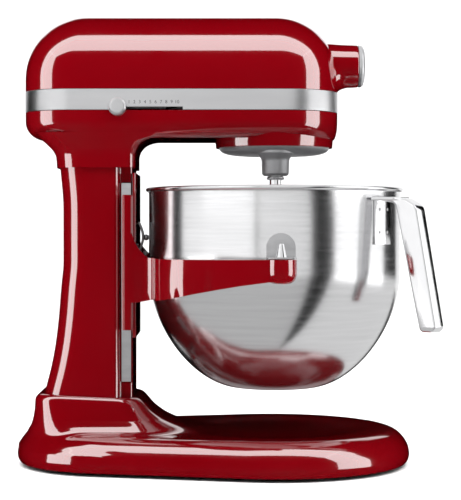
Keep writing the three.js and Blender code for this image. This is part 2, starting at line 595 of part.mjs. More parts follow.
// ---- Yoke, bowl and lift -----------------------------------------------------------------
function makeYoke() {
  const { front, back, rear, railFront, railIn, railOut, plateHalf, armRoot, armTop, armIn } = yoke;
  const plate = plateZ(outline(planRectangle(back, front, plateHalf, 0.4, 2, 4)), yoke.low, yoke.high);
  const c = yoke.chamfer;
  const rails = [-1, 1].map((side) => {
    const plan = [[rear, railIn], [railFront, railIn], [railFront, railOut - c], [railFront - c, railOut],
      [rear + c, railOut], [rear, railOut - c]];
    return plateZ(outline(plan.map(([x, y]) => [x, side * y])), yoke.railLow, yoke.railHigh);
  });

  // Each arm runs beside the bowl: its inner side follows a circle about the bowl's axis.
  const circle = armIn + 1.8;
  const from = Math.PI - Math.asin(armRoot / circle);
  const to = Math.PI - Math.asin(armIn / circle);
  const inner = [...Array(7).keys()].map((k) => {
    const a = from + ((to - from) * k) / 6;
    return [bowlAxis + circle * Math.cos(a), circle * Math.sin(a)];
  });
  const { tipX, tipR, armOut } = yoke;
  const tip = [[tipX, armIn], [tipX, armOut - tipR], [tipX - tipR, armOut]];
  const root = rear + 4;
  const armPlan = [[root, armRoot], [front, armRoot], ...inner, ...tip, ...yoke.flare, [root, railOut]];
  const under = [[-110, 100], [-110, 150], [-76, 153.8], [-69, 155.2], [-27, 164.2], [12, 171],
    [37, 174.3], [80, 174.3], [80, 100]];
  const below = plateY(outline(under), -150, 150);
  const sides = [-1, 1].map((side) => {
    const mirrored = armPlan.map(([x, y]) => [x, side * y]);
    const arm = cut(plateZ(outline(mirrored), 140, armTop), below);
    const gusset = new THREE.Shape();
    gusset.moveTo(-88, 190);
    gusset.lineTo(-69.5, 190);
    gusset.lineTo(-69.5, armTop);
    gusset.quadraticCurveTo(-82, 203, -84.4, 216);
    gusset.lineTo(-88, 216);
    const web = plateY(gusset, ...ordered(side * armRoot, side * railOut));
    const r = yoke.lugR;
    const lug = turned([[0, yoke.lugLow], [5, yoke.lugLow], [9.6, 174], [12.2, 177.6], [r, 183], [r, armTop],
      [0, armTop]], yoke.pinX, side * yoke.pinY, 32);
    const inside = box(20, 80, ...ordered(side * armIn, side * (armIn - 20)), 160, 200);
    return join(arm, web, cut(lug, inside));
  });
  part('yoke', join(plate, ...rails, ...sides), 'enamel');
  for (const [name, side] of [['left', -1], ['right', 1]]) {
    const foot = armTop + gap;
    const profile = [[0, foot], [5, foot], [4.9, 196.5], [2.6, 207], [1.6, 208.2], [0, 208.2]];
    part(`locating_pin_${name}`, turned(profile, yoke.pinX, side * yoke.pinY, 20), 'polished');
  }
  const bends = [[-77.4, -5, 224], [-76.2, -5, 212], [-79.4, -5, 200], [-79.4, 0, 195], [-79.4, 5, 200],
    [-76.2, 5, 212], [-77.4, 5, 224]];
  const wire = new THREE.CatmullRomCurve3(bends.map((p) => new THREE.Vector3(...p)));
  const section = new THREE.Shape().absarc(0, 0, 1, 0, 2 * Math.PI);
  const swept = new THREE.ExtrudeGeometry(section, { steps: 14, extrudePath: wire, curveSegments: 3 });
  part('latch_spring', solid(swept), 'steel');
}

function makeBowl() {
  const { r, skin, floor, flat, shoulder, rim, beadR } = bowl;
  const side = new THREE.CubicBezierCurve(new THREE.Vector2(flat, floor), new THREE.Vector2(76, 76),
    new THREE.Vector2(r, 128), new THREE.Vector2(r, shoulder));
  const outer = side.getPoints(7).map((p) => [p.x, p.y]);
  const inner = outer.map(([x, z], i) => {
    const t = side.getTangent(i / 7);
    return [x - skin * t.y, z + skin * t.x];
  });
  const beadZ = rim - beadR;
  const bead = [-90, -20, 50, 120].map((deg) => {
    const a = THREE.MathUtils.degToRad(deg);
    return [r + 0.6 + beadR * Math.cos(a), beadZ + beadR * Math.sin(a)];
  });
  const profile = [[0, floor], ...outer, [r, beadZ - beadR - 1], ...bead, [r - skin, beadZ],
    ...inner.reverse(), [0, floor + skin]];
  part('bowl_shell', turned(profile, bowlAxis, 0, 36), 'brushed');

  for (const [name, s] of [['left', -1], ['right', 1]]) {
    const { pinX, pinY, armTop } = yoke;
    const w = 12.8;
    const z0 = armTop + 0.4;
    const arch = new THREE.Shape();
    arch.moveTo(pinX - w, z0);
    arch.lineTo(pinX + w, z0);
    arch.absarc(pinX, 203.7, w, 0, Math.PI, false);
    const plate = plateY(arch, ...ordered(s * (r + 0.3), s * (r + 1.9)));
    const ledge = box(pinX - w, pinX + w, ...ordered(s * (r + 0.3), s * (pinY + 9)), z0, z0 + 1.7);
    const hole = rod([pinX, s * pinY, z0 - 2], [pinX, s * pinY, z0 + 4], 5.6, 20);
    part(`bowl_bracket_${name}`, join(plate, cut(ledge, hole)), 'steel');
  }
  const studProfile = [[0, -76], [1.6, -75.7], [2.8, -74], [2.8, -73], [1.6, -72], [1.6, -71.2],
    [0, -71.2]];
  part('bowl_rear_stud', turnedX(studProfile, 0, 212, 16), 'steel');

  // The handle stands on one side of the bowl: its profile is [distance from the axis, height].
  const handleSide = rounded([[r + 1.2, 249.6], [146, 246.6], [156.6, 240.5], [177.2, 129.6], [160.6, 129.6],
    [135.4, 243], [r + 1.2, 245.4]], [0.2, 8, 10, 5, 5, 6, 0.2], 4);
  const grip = plateY(outline(handleSide), -handle.width / 2, handle.width / 2);
  const w = handle.tabWidth / 2;
  const tab = new THREE.Shape();
  tab.absarc(0, 0, r + 2, -w / r, w / r, false);
  tab.absarc(0, 0, r + 0.4, w / r, -w / r, true);
  const wings = [[r + 1, -20], [r + 8, -14], [r + 24, -7], [r + 24, 7], [r + 8, 14], [r + 1, 20]];
  const flare = plateZ(outline(wings), 245.6, 248.4);
  const body = cut(join(grip, plateZ(tab, 206, 249), flare), rod([0, 0, 200], [0, 0, 260], r + 0.4, 72));
  const turn = THREE.MathUtils.radToDeg(handle.azimuth);
  part('bowl_handle', body.rotate([0, 0, turn]).translate([bowlAxis, 0, 0]), 'polished');
}

function makeLift() {
  const { x, z, length, y } = lever;
  const arm = outline([[x - 7, z], [x + 7, z], [x + 4.5, z + length], [x - 4.5, z + length]]);
  const disc = rod([x, y - 3, z], [x, y + 4, z], 11, 28);
  const knob = turned([[0, -9], [6, -7.4], [8, -3], [8, 3], [6, 7.4], [0, 9]], x, y + 2, 20);
  const grip = cut(knob.translate([0, 0, z + length]), box(x - 20, x + 20, 40, y - 3, z, 290));
  part('lift_lever', join(plateY(arm, y - 2.6, y + 2.6), disc, grip), 'satin');
  part('lift_shaft', rod([x, 32, z], [x, y - 3.3, z], 5, 20), 'steel');
  const crank = outline([[x - 8, z - 6], [x + 8, z - 6], [x + 5, z + 19], [x - 5, z + 19]]);
  const pin = rod([x, 20, z + 14], [x, 28, z + 14], 3, 12);
  part('lift_crank', join(plateY(crank, 27, 31.7), pin), 'steel');
}

makeBase();
makeColumn();
makeHead();
makeGearbox();
makeMotor();
makeDrive();
makePlanetary();
makeSpeedControl();
makeYoke();
makeBowl();
makeLift();

export default group;
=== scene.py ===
import math

import bmesh
import bpy
from mathutils import Matrix, Vector


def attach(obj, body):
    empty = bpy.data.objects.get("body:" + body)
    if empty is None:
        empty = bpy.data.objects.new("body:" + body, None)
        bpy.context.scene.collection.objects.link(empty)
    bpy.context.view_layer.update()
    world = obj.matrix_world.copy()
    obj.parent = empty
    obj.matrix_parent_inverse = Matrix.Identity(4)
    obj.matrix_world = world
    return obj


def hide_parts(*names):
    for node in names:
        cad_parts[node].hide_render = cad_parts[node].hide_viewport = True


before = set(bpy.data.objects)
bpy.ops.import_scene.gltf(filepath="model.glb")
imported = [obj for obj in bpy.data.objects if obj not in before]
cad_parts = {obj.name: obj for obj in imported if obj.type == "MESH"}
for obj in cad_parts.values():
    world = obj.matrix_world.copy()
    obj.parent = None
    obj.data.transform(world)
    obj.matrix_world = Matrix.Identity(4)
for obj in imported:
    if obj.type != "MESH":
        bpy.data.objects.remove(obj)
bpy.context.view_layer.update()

MM = 0.001
TAU = 2 * math.pi
scene = bpy.context.scene

# Driving sizes in millimetres, with x forward and z up
BOWL_X = 46.5  # the bowl's and the planetary's axis
HUB_Z = 372.4  # the attachment socket's axis
ORBIT = 33  # from the bowl's axis to the beater's
LEVER_X, LEVER_Z = -120, 200  # the lift lever's pivot
GLAND_X, GLAND_Z = -140, 286.5  # the cord gland's axis
SCREW_X = 115  # the attachment screw's axis
GAP = 0.3  # between castings that meet


# ---- Curves and outlines, in millimetres ---------------------------------------------------
def smooth_through(xs, ys):
    """A monotone cubic curve through the points, held flat past both ends."""
    n = len(xs)
    h = [xs[i + 1] - xs[i] for i in range(n - 1)]
    d = [(ys[i + 1] - ys[i]) / h[i] for i in range(n - 1)]
    m = [d[0]] + [0.0] * (n - 2) + [d[-1]]
    for i in range(1, n - 1):
        if d[i - 1] * d[i] > 0:
            w1, w2 = 2 * h[i] + h[i - 1], h[i] + 2 * h[i - 1]
            m[i] = (w1 + w2) / (w1 / d[i - 1] + w2 / d[i])

    def at(x):
        if x <= xs[0]:
            return ys[0]
        if x >= xs[-1]:
            return ys[-1]
        i = max(k for k in range(n - 1) if xs[k] <= x)
        t = (x - xs[i]) / h[i]
        a = ys[i] * (1 + 2 * t) * (1 - t) ** 2 + h[i] * m[i] * t * (1 - t) ** 2
        b = ys[i + 1] * t * t * (3 - 2 * t) + h[i] * m[i + 1] * t * t * (t - 1)
        return a + b

    return at


def smoothstep(x, low, high):
    t = min(max((x - low) / (high - low), 0), 1)
    return t * t * (3 - 2 * t)


def rounded(corners, radii, steps=10, run=0):
    """A closed polygon with rounded corners and `run` extra points on each straight side."""
    ring = []
    n = len(corners)
    for i in range(n):
        here = Vector(corners[i])
        last = (Vector(corners[i - 1]) - here).normalized()
        to_next = (Vector(corners[(i + 1) % n]) - here).normalized()
        half = math.acos(max(-1, min(1, last.dot(to_next)))) / 2
        r = radii[i]
        centre = here + (last + to_next).normalized() * (r / math.sin(half))
        start = here + last * (r / math.tan(half)) - centre
        end = here + to_next * (r / math.tan(half)) - centre
        cross = start.x * end.y - start.y * end.x
        sweep = math.copysign(start.angle(end) if r > 1e-6 else 0, cross)
        for k in range(steps + 1):
            a = sweep * k / steps
            c, s = math.cos(a), math.sin(a)
            ring.append((centre.x + start.x * c - start.y * s, centre.y + start.x * s + start.y * c))
    if not run:
        return ring
    spread = []
    per = steps + 1
    for i in range(n):
        spread += ring[i * per:(i + 1) * per]
        a, b = ring[(i + 1) * per - 1], ring[(i + 1) * per % (n * per)]
        for k in range(1, run + 1):
            t = k / (run + 1)
            spread.append((a[0] + (b[0] - a[0]) * t, a[1] + (b[1] - a[1]) * t))
    return spread


def plan_rectangle(rear, front, half, rear_r, front_r=None, steps=12, run=6):
    front_r = rear_r if front_r is None else front_r
    corners = [(rear, -half), (front, -half), (front, half), (rear, half)]
    return rounded(corners, [rear_r, front_r, front_r, rear_r], steps, run)


def at_height(ring, z):
    return [(x, y, z) for x, y in ring]


def bezier(p0, p1, p2, p3, steps):
    points = []
    for k in range(steps + 1):
        t = k / steps
        w = ((1 - t) ** 3, 3 * t * (1 - t) ** 2, 3 * t * t * (1 - t), t ** 3)
        points.append(tuple(sum(wi * p[c] for wi, p in zip(w, (p0, p1, p2, p3))) for c in (0, 1)))
    return points


def arc(cx, cy, r, start, end, steps):
    """Points on a circle, from one angle to another in degrees."""
    angles = [math.radians(start + (end - start) * k / steps) for k in range(steps + 1)]
    return [(cx + r * math.cos(a), cy + r * math.sin(a)) for a in angles]


def softened(profile, radii, steps=5):
    """An open profile with its inner corners rounded; radii has one entry per inner corner."""
    out = [profile[0]]
    for i, r in enumerate(radii, 1):
        here = Vector(profile[i])
        if r <= 0:
            out.append(profile[i])
            continue
        last = Vector(profile[i - 1]) - here
        to_next = Vector(profile[i + 1]) - here
        half = last.angle(to_next) / 2
        reach = min(r / math.tan(half), last.length * 0.49, to_next.length * 0.49)
        a = here + last.normalized() * reach
        b = here + to_next.normalized() * reach
        for k in range(steps + 1):
            t = k / steps
            p = a * (1 - t) ** 2 + here * 2 * t * (1 - t) + b * t * t
            out.append((p.x, p.y))
    return out + [profile[-1]]


# ---- Meshes --------------------------------------------------------------------------------
def shade(obj, sharp=32):
    obj.data.shade_smooth()
    obj.data.set_sharp_from_angle(angle=math.radians(sharp))
    return obj


def tidy(obj, sharp=32, weld=2e-6):
    bm = bmesh.new()
    bm.from_mesh(obj.data)
    bmesh.ops.remove_doubles(bm, verts=bm.verts, dist=weld)
    bmesh.ops.dissolve_degenerate(bm, edges=bm.edges, dist=1e-7)
    bmesh.ops.recalc_face_normals(bm, faces=bm.faces)
    bm.to_mesh(obj.data)
    bm.free()
    return shade(obj, sharp)


def mesh_object(name, verts, faces, sharp=32):
    data = bpy.data.meshes.new(name)
    data.from_pydata([(x * MM, y * MM, z * MM) for x, y, z in verts], [], faces)
    obj = bpy.data.objects.new(name, data)
    scene.collection.objects.link(obj)
    return tidy(obj, sharp)


def loft(name, rings, sharp=32, closed=False):
    """A skin over rings of points. A closed one joins its last ring to its first."""
    n = len(rings[0])
    verts = [p for ring in rings for p in ring]
    faces = []
    for k in range(len(rings) - (0 if closed else 1)):
        a0, b0 = k * n, ((k + 1) % len(rings)) * n
        for i in range(n):
            j = (i + 1) % n
            faces.append((a0 + i, a0 + j, b0 + j, b0 + i))
    if not closed:
        for k in (0, len(rings) - 1):
            verts.append(tuple(sum(p[c] for p in rings[k]) / n for c in range(3)))
            faces += [(len(verts) - 1, k * n + i, k * n + (i + 1) % n) for i in range(n)]
    return mesh_object(name, verts, faces, sharp)


ORIGIN = (0, 0, 0)
# where a point at (u, v) across an axis and h along it lies, from a centre c
AXES = {
    "z": lambda u, v, h, c: (c[0] + u, c[1] + v, c[2] + h),
    "x": lambda u, v, h, c: (c[0] + h, c[1] + u, c[2] + v),
    "y": lambda u, v, h, c: (c[0] + u, c[1] + h, c[2] + v),
}


def lathe(name, profile, centre=ORIGIN, axis="z", segments=96, sharp=32):
    """A turned shape. Profile points are (radius, distance along the axis)."""
    point_at = AXES[axis]
    rings = []
    for r, h in profile:
        rings.append([point_at(r * math.cos(TAU * k / segments), r * math.sin(TAU * k / segments), h, centre)
                      for k in range(segments)])
    closed = profile[0] == profile[-1]
    return loft(name, rings[:-1] if closed else rings, sharp, closed)


def applied(obj, sharp=32):
    """The object with its modifiers made real."""
    graph = bpy.context.evaluated_depsgraph_get()
    data = bpy.data.meshes.new_from_object(obj.evaluated_get(graph))
    obj.modifiers.clear()
    obj.data = data
    return shade(obj, sharp)


def curve_mesh(curve):
    """The mesh that a curve or text makes."""
    drawn = bpy.data.objects.new(curve.name + "_drawn", curve)
    scene.collection.objects.link(drawn)
    data = bpy.data.meshes.new_from_object(drawn.evaluated_get(bpy.context.evaluated_depsgraph_get()))
    bpy.data.objects.remove(drawn)
    return data


def prism(name, loops, low, high, bevel=0.5, axis="z", sharp=32, steps=3):
    """A flat outline, with any holes, given depth and rounded edges."""
    curve = bpy.data.curves.new(name, "CURVE")
    curve.dimensions = "2D"
    curve.fill_mode = "BOTH"
    curve.extrude = ((high - low) / 2 - bevel) * MM
    curve.bevel_depth = bevel * MM
    curve.bevel_resolution = steps
    curve.offset = -bevel * MM
    for points in loops:
        spline = curve.splines.new("POLY")
        spline.points.add(len(points) - 1)
        for point, (a, b) in zip(spline.points, points):
            point.co = (a * MM, b * MM, 0, 1)
        spline.use_cyclic_u = True
    data = curve_mesh(curve)
    middle = (low + high) / 2 * MM
    for v in data.vertices:
        a, b, h = v.co
        v.co = AXES[axis](a, b, h + middle, ORIGIN)
    obj = bpy.data.objects.new(name, data)
    scene.collection.objects.link(obj)
    return tidy(obj, sharp)


def block(name, x0, x1, y0, y1, z0, z1, bevel=0.4):
    y0, y1 = min(y0, y1), max(y0, y1)
    return prism(name, [[(x0, y0), (x1, y0), (x1, y1), (x0, y1)]], z0, z1, bevel)


def rod(name, start, end, r, segments=48, bevel=0.0):
    """A round bar between two points, with its ends broken by a small chamfer."""
    a, b = Vector(start), Vector(end)
    length = (b - a).length
    e = max(bevel, 0.01)
    obj = lathe(name, [(0, 0), (r - e, 0), (r, e), (r, length - e), (r - e, length), (0, length)],
                segments=segments)
    turn = Vector((0, 0, 1)).rotation_difference((b - a).normalized()).to_matrix().to_4x4()
    obj.data.transform(Matrix.Translation(a * MM) @ turn)
    return obj


def mix(obj, tool, operation, sharp=32):
    step = obj.modifiers.new("mix", "BOOLEAN")
    step.solver = "MANIFOLD"
    step.operation = operation
    step.object = tool
    applied(obj, sharp)
    bpy.data.objects.remove(tool)
    return tidy(obj, sharp)


def union(obj, *others, sharp=32):
    for other in others:
        mix(obj, other, "UNION", sharp)
    return obj


def cut(obj, *tools, sharp=32):
    for tool in tools:
        mix(obj, tool, "DIFFERENCE", sharp)
    return obj


def soften_edges(obj, width, angle=40, segments=3, sharp=50):
    step = obj.modifiers.new("edges", "BEVEL")
    step.width = width * MM
    step.segments = segments
    step.limit_method = "ANGLE"
    step.angle_limit = math.radians(angle)
    return applied(obj, sharp)


def tube_along(name, points, r, steps=10):
    """A round wire through the points."""
    curve = bpy.data.curves.new(name, "CURVE")
    curve.dimensions = "3D"
    curve.bevel_depth = r * MM
    curve.bevel_resolution = 5
    curve.use_fill_caps = True
    spline = curve.splines.new("NURBS")
    spline.points.add(len(points) - 1)
    for point, p in zip(spline.points, points):
        point.co = (p[0] * MM, p[1] * MM, p[2] * MM, 1)
    spline.use_endpoint_u = True
    spline.order_u = 3
    spline.resolution_u = steps
    obj = bpy.data.objects.new(name, curve_mesh(curve))
    scene.collection.objects.link(obj)
    return tidy(obj)


# ---- Materials -----------------------------------------------------------------------------
def link(tree, source, target):
    tree.links.new(source, target)


def noise(tree, vector, scale, detail=3.0, rough=0.55):
    node = tree.nodes.new("ShaderNodeTexNoise")
    node.inputs["Scale"].default_value = scale
    node.inputs["Detail"].default_value = detail
    node.inputs["Roughness"].default_value = rough
    link(tree, vector, node.inputs["Vector"])
    return node.outputs["Fac"]


def remap(tree, value, low, high, start=0.3, end=0.7):
    node = tree.nodes.new("ShaderNodeMapRange")
    node.inputs["From Min"].default_value = start
    node.inputs["From Max"].default_value = end
    node.inputs["To Min"].default_value = low
    node.inputs["To Max"].default_value = high
    link(tree, value, node.inputs["Value"])
    return node.outputs["Result"]


def blend(tree, factor, a, b):
    node = tree.nodes.new("ShaderNodeMix")
    node.data_type = "RGBA"
    link(tree, factor, node.inputs["Factor"])
    for socket, colour in (("A", a), ("B", b)):
        target = next(i for i in node.inputs if i.name == socket and i.type == "RGBA")
        if isinstance(colour, tuple):
            target.default_value = (*colour, 1)
        else:
            link(tree, colour, target)
    return next(o for o in node.outputs if o.type == "RGBA")


def material(name, colour, second, roughness, metallic=0.0, scale=40.0, stretch=(1, 1, 1), shift=(0, 0, 0),
             bump=0.02, bump_scale=600.0, edge=None, **constants):
    """A surface whose colour, roughness and relief vary over its own position; an `edge` colour adds a
    painted shade that darkens the colour wherever the surface is seen edge-on.
    """
    made = bpy.data.materials.new(name)
    made.use_nodes = True
    tree = made.node_tree
    shader = tree.nodes["Principled BSDF"]
    coordinates = tree.nodes.new("ShaderNodeTexCoord")
    mapping = tree.nodes.new("ShaderNodeMapping")
    mapping.inputs["Location"].default_value = shift
    mapping.inputs["Scale"].default_value = stretch
    link(tree, coordinates.outputs["Object"], mapping.inputs["Vector"])
    where = mapping.outputs["Vector"]
    tint = blend(tree, remap(tree, noise(tree, where, scale), 0, 1), colour, second)
    # painted shade: towards the outlines, where the surface turns edge-on to the view, the colour is blended
    # to the darker `edge` colour
    if edge:
        painted_rim_shade = tree.nodes.new("ShaderNodeLayerWeight")
        painted_rim_shade.inputs["Blend"].default_value = 0.35
        tint = blend(tree, remap(tree, painted_rim_shade.outputs["Facing"], 0, 1, 0.85, 1.0), tint, edge)
    link(tree, tint, shader.inputs["Base Color"])
    low, high = roughness
    link(tree, remap(tree, noise(tree, where, scale * 2.3, 4), low, high), shader.inputs["Roughness"])
    relief = tree.nodes.new("ShaderNodeBump")
    relief.inputs["Strength"].default_value = bump
    relief.inputs["Distance"].default_value = 0.0005
    link(tree, noise(tree, where, bump_scale, 2), relief.inputs["Height"])
    link(tree, relief.outputs["Normal"], shader.inputs["Normal"])
    shader.inputs["Metallic"].default_value = metallic
    for key, value in constants.items():
        shader.inputs[key.replace("_", " ")].default_value = value
    return made


MATERIALS = {
    # the red enamel's `edge` colour is a painted shade, a darker red along the outlines where the paint is
    # seen edge-on
    "red_enamel": material(
        "red_enamel", (0.148, 0.0002, 0.0024), (0.16, 0.0003, 0.0028), (0.1, 0.16), scale=9, bump=0.012,
        bump_scale=260, edge=(0.075, 0.0001, 0.001), Coat_Weight=1.0, Coat_Roughness=0.012, Coat_IOR=1.9,
        IOR=1.45),
    "satin_metal": material(
        "satin_metal", (0.62, 0.62, 0.63), (0.68, 0.68, 0.69), (0.3, 0.36), 1.0, scale=60,
        stretch=(0.15, 1, 1), bump=0.03, bump_scale=900),
    "grey_casting": material(
        "grey_casting", (0.33, 0.33, 0.34), (0.38, 0.38, 0.39), (0.36, 0.46), 0.75, scale=70, bump=0.08,
        bump_scale=1400),
    "polished_steel": material(
        "polished_steel", (0.84, 0.84, 0.85), (0.88, 0.88, 0.89), (0.07, 0.12), 1.0, scale=50, bump=0.012,
        bump_scale=500),
    "brushed_steel": material(
        "brushed_steel", (0.76, 0.76, 0.77), (0.82, 0.82, 0.83), (0.16, 0.22), 1.0, scale=90,
        stretch=(0.12, 0.12, 3.2), bump=0.025, bump_scale=420),
    "plain_steel": material(
        "plain_steel", (0.5, 0.5, 0.51), (0.58, 0.58, 0.59), (0.32, 0.42), 1.0, scale=120,
        stretch=(0.5, 1, 1.6), bump=0.06, bump_scale=1500),
    "brass": material(
        "brass", (0.62, 0.42, 0.14), (0.7, 0.5, 0.2), (0.3, 0.4), 1.0, scale=120, bump=0.04,
        bump_scale=1200),
    "copper_windings": material(
        "copper_windings", (0.42, 0.14, 0.06), (0.6, 0.24, 0.11), (0.3, 0.42), 0.9, scale=60,
        stretch=(9, 1, 1), bump=0.3, bump_scale=160),
    "rubber": material(
        "rubber", (0.012, 0.012, 0.012), (0.022, 0.022, 0.021), (0.6, 0.8), scale=200, bump=0.2,
        bump_scale=2200),
    "black_plastic": material(
        "black_plastic", (0.014, 0.014, 0.015), (0.026, 0.026, 0.027), (0.38, 0.5), scale=150, bump=0.15,
        bump_scale=2600),
    "circuit_board": material(
        "circuit_board", (0.01, 0.09, 0.035), (0.02, 0.16, 0.06), (0.35, 0.5), scale=260,
        stretch=(1, 1, 0.3), bump=0.12, bump_scale=700),
    "scale_ink": material(
        "scale_ink", (0.05, 0.05, 0.055), (0.08, 0.08, 0.085), (0.4, 0.5), scale=300, bump=0.03,
        bump_scale=1500),
}
metals = bpy.data.collections.new("metals")
scene.collection.children.link(metals)
painted = bpy.data.collections.new("painted")
scene.collection.children.link(painted)
PAINT = ("red_enamel", "rubber", "black_plastic", "circuit_board", "scale_ink")


def finished(obj, slot, surface=None):
    obj.data.materials.clear()
    obj.data.materials.append(MATERIALS[surface or slot])
    (painted if (surface or slot) in PAINT else metals).objects.link(obj)
    return obj


def place(obj, body, slot, *nodes, surface=None):
    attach(obj, body)
    if nodes:
        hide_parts(*nodes)
    return finished(obj, slot, surface)


# ---- Base ----------------------------------------------------------------------------------
REAR = (-99, 95)
FRONT = (46.5, 126.5)
LEAN = math.asin((FRONT[1] - REAR[1]) / (FRONT[0] - REAR[0]))
COLLAR_X = -125
# the pedestal's plan at each height: height, rear, front, half width, corner radius
PEDESTAL = [
    (27, -187.5, 12, 79, 73), (31, -184.6, -11, 72, 62), (35, -182.2, -29, 66.4, 52),
    (40, -179, -43, 61.8, 41), (46, -176.8, -55.5, 58.4, 33), (55, -175, -67, 55.8, 26),
    (62, -174.3, -73, 54.3, 23), (65.5, -172.2, -76.5, 52.6, 21), (66.8, -170.2, -78.8, 51.3, 19.5),
    (67.4, -168.2, -81.2, 49.8, 18), (67.6, -163, -84, 47, 15),
]
FLARE = 4  # the level in PEDESTAL where its flared foot ends
RIM_HEIGHTS = (46, 48, 50.5, 53, 55.5, 58, 60, 62, 63.5, 64.7, 65.6, 66.3, 66.8, 67.15, 67.4, 67.55)
WALL_LOW, WALL_HIGH = 3.7, 17  # the nearly upright band round the base's edge
TOP_STEPS = 56
DIP, DIP_START, DIP_END = 1.7, 58, 86  # the shallow dish under the bowl and the radii of its edge
BLEND = 5.0  # how far the pedestal's foot and the flat top melt together
COLLAR_LEAN = 0.044
FOOT_PLACES = [(-150, -52), (-150, 52), (70, -98), (70, 98)]
edge_height = smooth_through([0, 0.9, 3.2, 6.8, 12, 18, 24], [11, 17, 22, 27, 31.3, 33.5, 34])
wall_inset = smooth_through([3.7, 6.5, 11, 17], [2.6, 0.8, 0, 0.9])


def base_inset(x, y):
    """How far inside the base's plan outline a point lies."""
    y = abs(y)
    along = (math.cos(LEAN), math.sin(LEAN))
    if (x - REAR[0]) * along[0] + y * along[1] < 0:
        return REAR[1] - math.hypot(x - REAR[0], y)
    if (x - FRONT[0]) * along[0] + y * along[1] > 0:
        return FRONT[1] - math.hypot(x - FRONT[0], y)
    return REAR[1] - (-(x - REAR[0]) * math.sin(LEAN) + y * math.cos(LEAN))


def base_outline(count, inset=0.0):
    """Points round the plan outline, about evenly spaced."""
    fine = []
    for (cx, r), start, end in ((FRONT, -math.pi / 2 - LEAN, math.pi / 2 + LEAN),
                                (REAR, math.pi / 2 + LEAN, 3 * math.pi / 2 - LEAN)):
        for k in range(201):
            a = start + (end - start) * k / 200
            fine.append(Vector((cx + (r - inset) * math.cos(a), (r - inset) * math.sin(a))))
    fine.append(fine[0])
    reach = [0.0]
    for a, b in zip(fine, fine[1:]):
        reach.append(reach[-1] + (b - a).length)
    points, i = [], 0
    for k in range(count):
        target = reach[-1] * k / count
        while reach[i + 1] < target:
            i += 1
        t = (target - reach[i]) / max(reach[i + 1] - reach[i], 1e-9)
        points.append(fine[i].lerp(fine[i + 1], t))
    return points


def reach_to_ring(ring, direction):
    """Distance from the collar's middle to a ring, along a direction."""
    best = 0.0
    for (ax, ay), (bx, by) in zip(ring, ring[1:] + ring[:1]):
        ax, bx = ax - COLLAR_X, bx - COLLAR_X
        ex, ey = bx - ax, by - ay
        det = direction.x * -ey + direction.y * ex
        if abs(det) < 1e-9:
            continue
        t = (ax * -ey + ay * ex) / det
        s = (direction.x * ay - direction.y * ax) / det
        if t > 0 and -1e-6 <= s <= 1 + 1e-6:
            best = max(best, t)
    return best


def reach_to_inset(direction, inset):
    low, high = 20.0, 320.0
    for _ in range(40):
        middle = (low + high) / 2
        inside = base_inset(COLLAR_X + direction.x * middle, direction.y * middle)
        low, high = (middle, high) if inside > inset else (low, middle)
    return (low + high) / 2


def base_top(x, y, reach, foot, rising):
    """Height of the casting's top at a point whose distance from the collar's middle is `reach`."""
    flat = edge_height(base_inset(x, y))
    flat -= DIP * (1 - smoothstep(math.hypot(x - BOWL_X, y), DIP_START, DIP_END))
    (outer, z_outer), (inner, z_inner) = foot
    if reach >= outer:
        slope = (z_inner - z_outer) / (outer - inner)
        rise = z_outer - slope * (reach - outer)
    else:
        rise = rising(reach)
    h = min(max(0.5 + 0.5 * (rise - flat) / BLEND, 0), 1)
    return flat + (rise - flat) * h + BLEND * h * (1 - h) * 0.5


def lean(z, x):
    """The height z once the pedestal's rim is tipped down towards the front."""
    return z - COLLAR_LEAN * smoothstep(z, 35, 66) * (x - COLLAR_X)


def base_section(direction, plans, heights):
    """The outside from the base's lower edge to the pedestal's rim, as (reach, height) in one direction."""
    reaches = [reach_to_ring(plan, direction) for plan in plans]
    foot = ((reaches[0], heights[0]), (reaches[1], heights[1]))
    rising = smooth_through(reaches[FLARE::-1], heights[FLARE::-1])
    section = [(reach_to_inset(direction, 5), WALL_LOW)]
    for k in range(9):
        z = WALL_LOW + (WALL_HIGH - WALL_LOW) * k / 8
        section.append((reach_to_inset(direction, wall_inset(z)), z))
    outer, inner = section[-1][0], reaches[FLARE]
    for k in range(1, TOP_STEPS):
        t = (1 - math.cos(math.pi * k / TOP_STEPS)) / 2
        reach = outer + (inner - outer) * t
        x, y = COLLAR_X + direction.x * reach, direction.y * reach
        section.append((reach, base_top(x, y, reach, foot, rising)))
    upper = smooth_through(heights[FLARE:], [-r for r in reaches[FLARE:]])
    section += [(-upper(z), z) for z in RIM_HEIGHTS]
    return section + [(reaches[-1], heights[-1])]


def base_shell():
    plans = [plan_rectangle(rear, front, half, r, steps=20, run=0) for _, rear, front, half, r in PEDESTAL]
    heights = [level[0] for level in PEDESTAL]
    columns = []
    for p in base_outline(300):
        direction = (p - Vector((COLLAR_X, 0))).normalized()
        column = []
        for reach, z in base_section(direction, plans, heights):
            x = COLLAR_X + direction.x * reach
            column.append((x, direction.y * reach, lean(z, x)))
        columns.append(column)
    rings = [[column[k] for column in columns] for k in range(len(columns[0]))]
    return loft("base_shell", rings, sharp=40)


def make_base():
    shell = base_shell()
    hollow = loft("hollow", [[(p.x, p.y, z) for p in base_outline(120, inset)]
                             for inset, z in ((7, 2.7), (9, 20), (14, 24), (24, 26))])
    for x, y in FOOT_PLACES:
        cut(hollow, rod("boss", (x, y, 1), (x, y, 27), 14))
    throat_ring = plan_rectangle(-160, -92, 42, 14, 10, steps=6, run=0)
    throat = loft("throat", [at_height(throat_ring, 20), at_height(throat_ring, 58)])
    socket = column_skin("socket", -0.4, 62.7, 92)
    cut(shell, hollow, throat, socket, sharp=40)
    place(shell, "stand", "red_enamel", "base_casting")
    for i, (x, y) in enumerate(FOOT_PLACES, 1):
        foot = lathe(f"foot_pad_{i}", softened([(0, 0), (12, 0), (12, 3.4), (0, 3.4)], [1.2, 0.5]),
                     (x, y, 0), segments=64)
        place(foot, "stand", "rubber", f"rubber_foot_{i}")


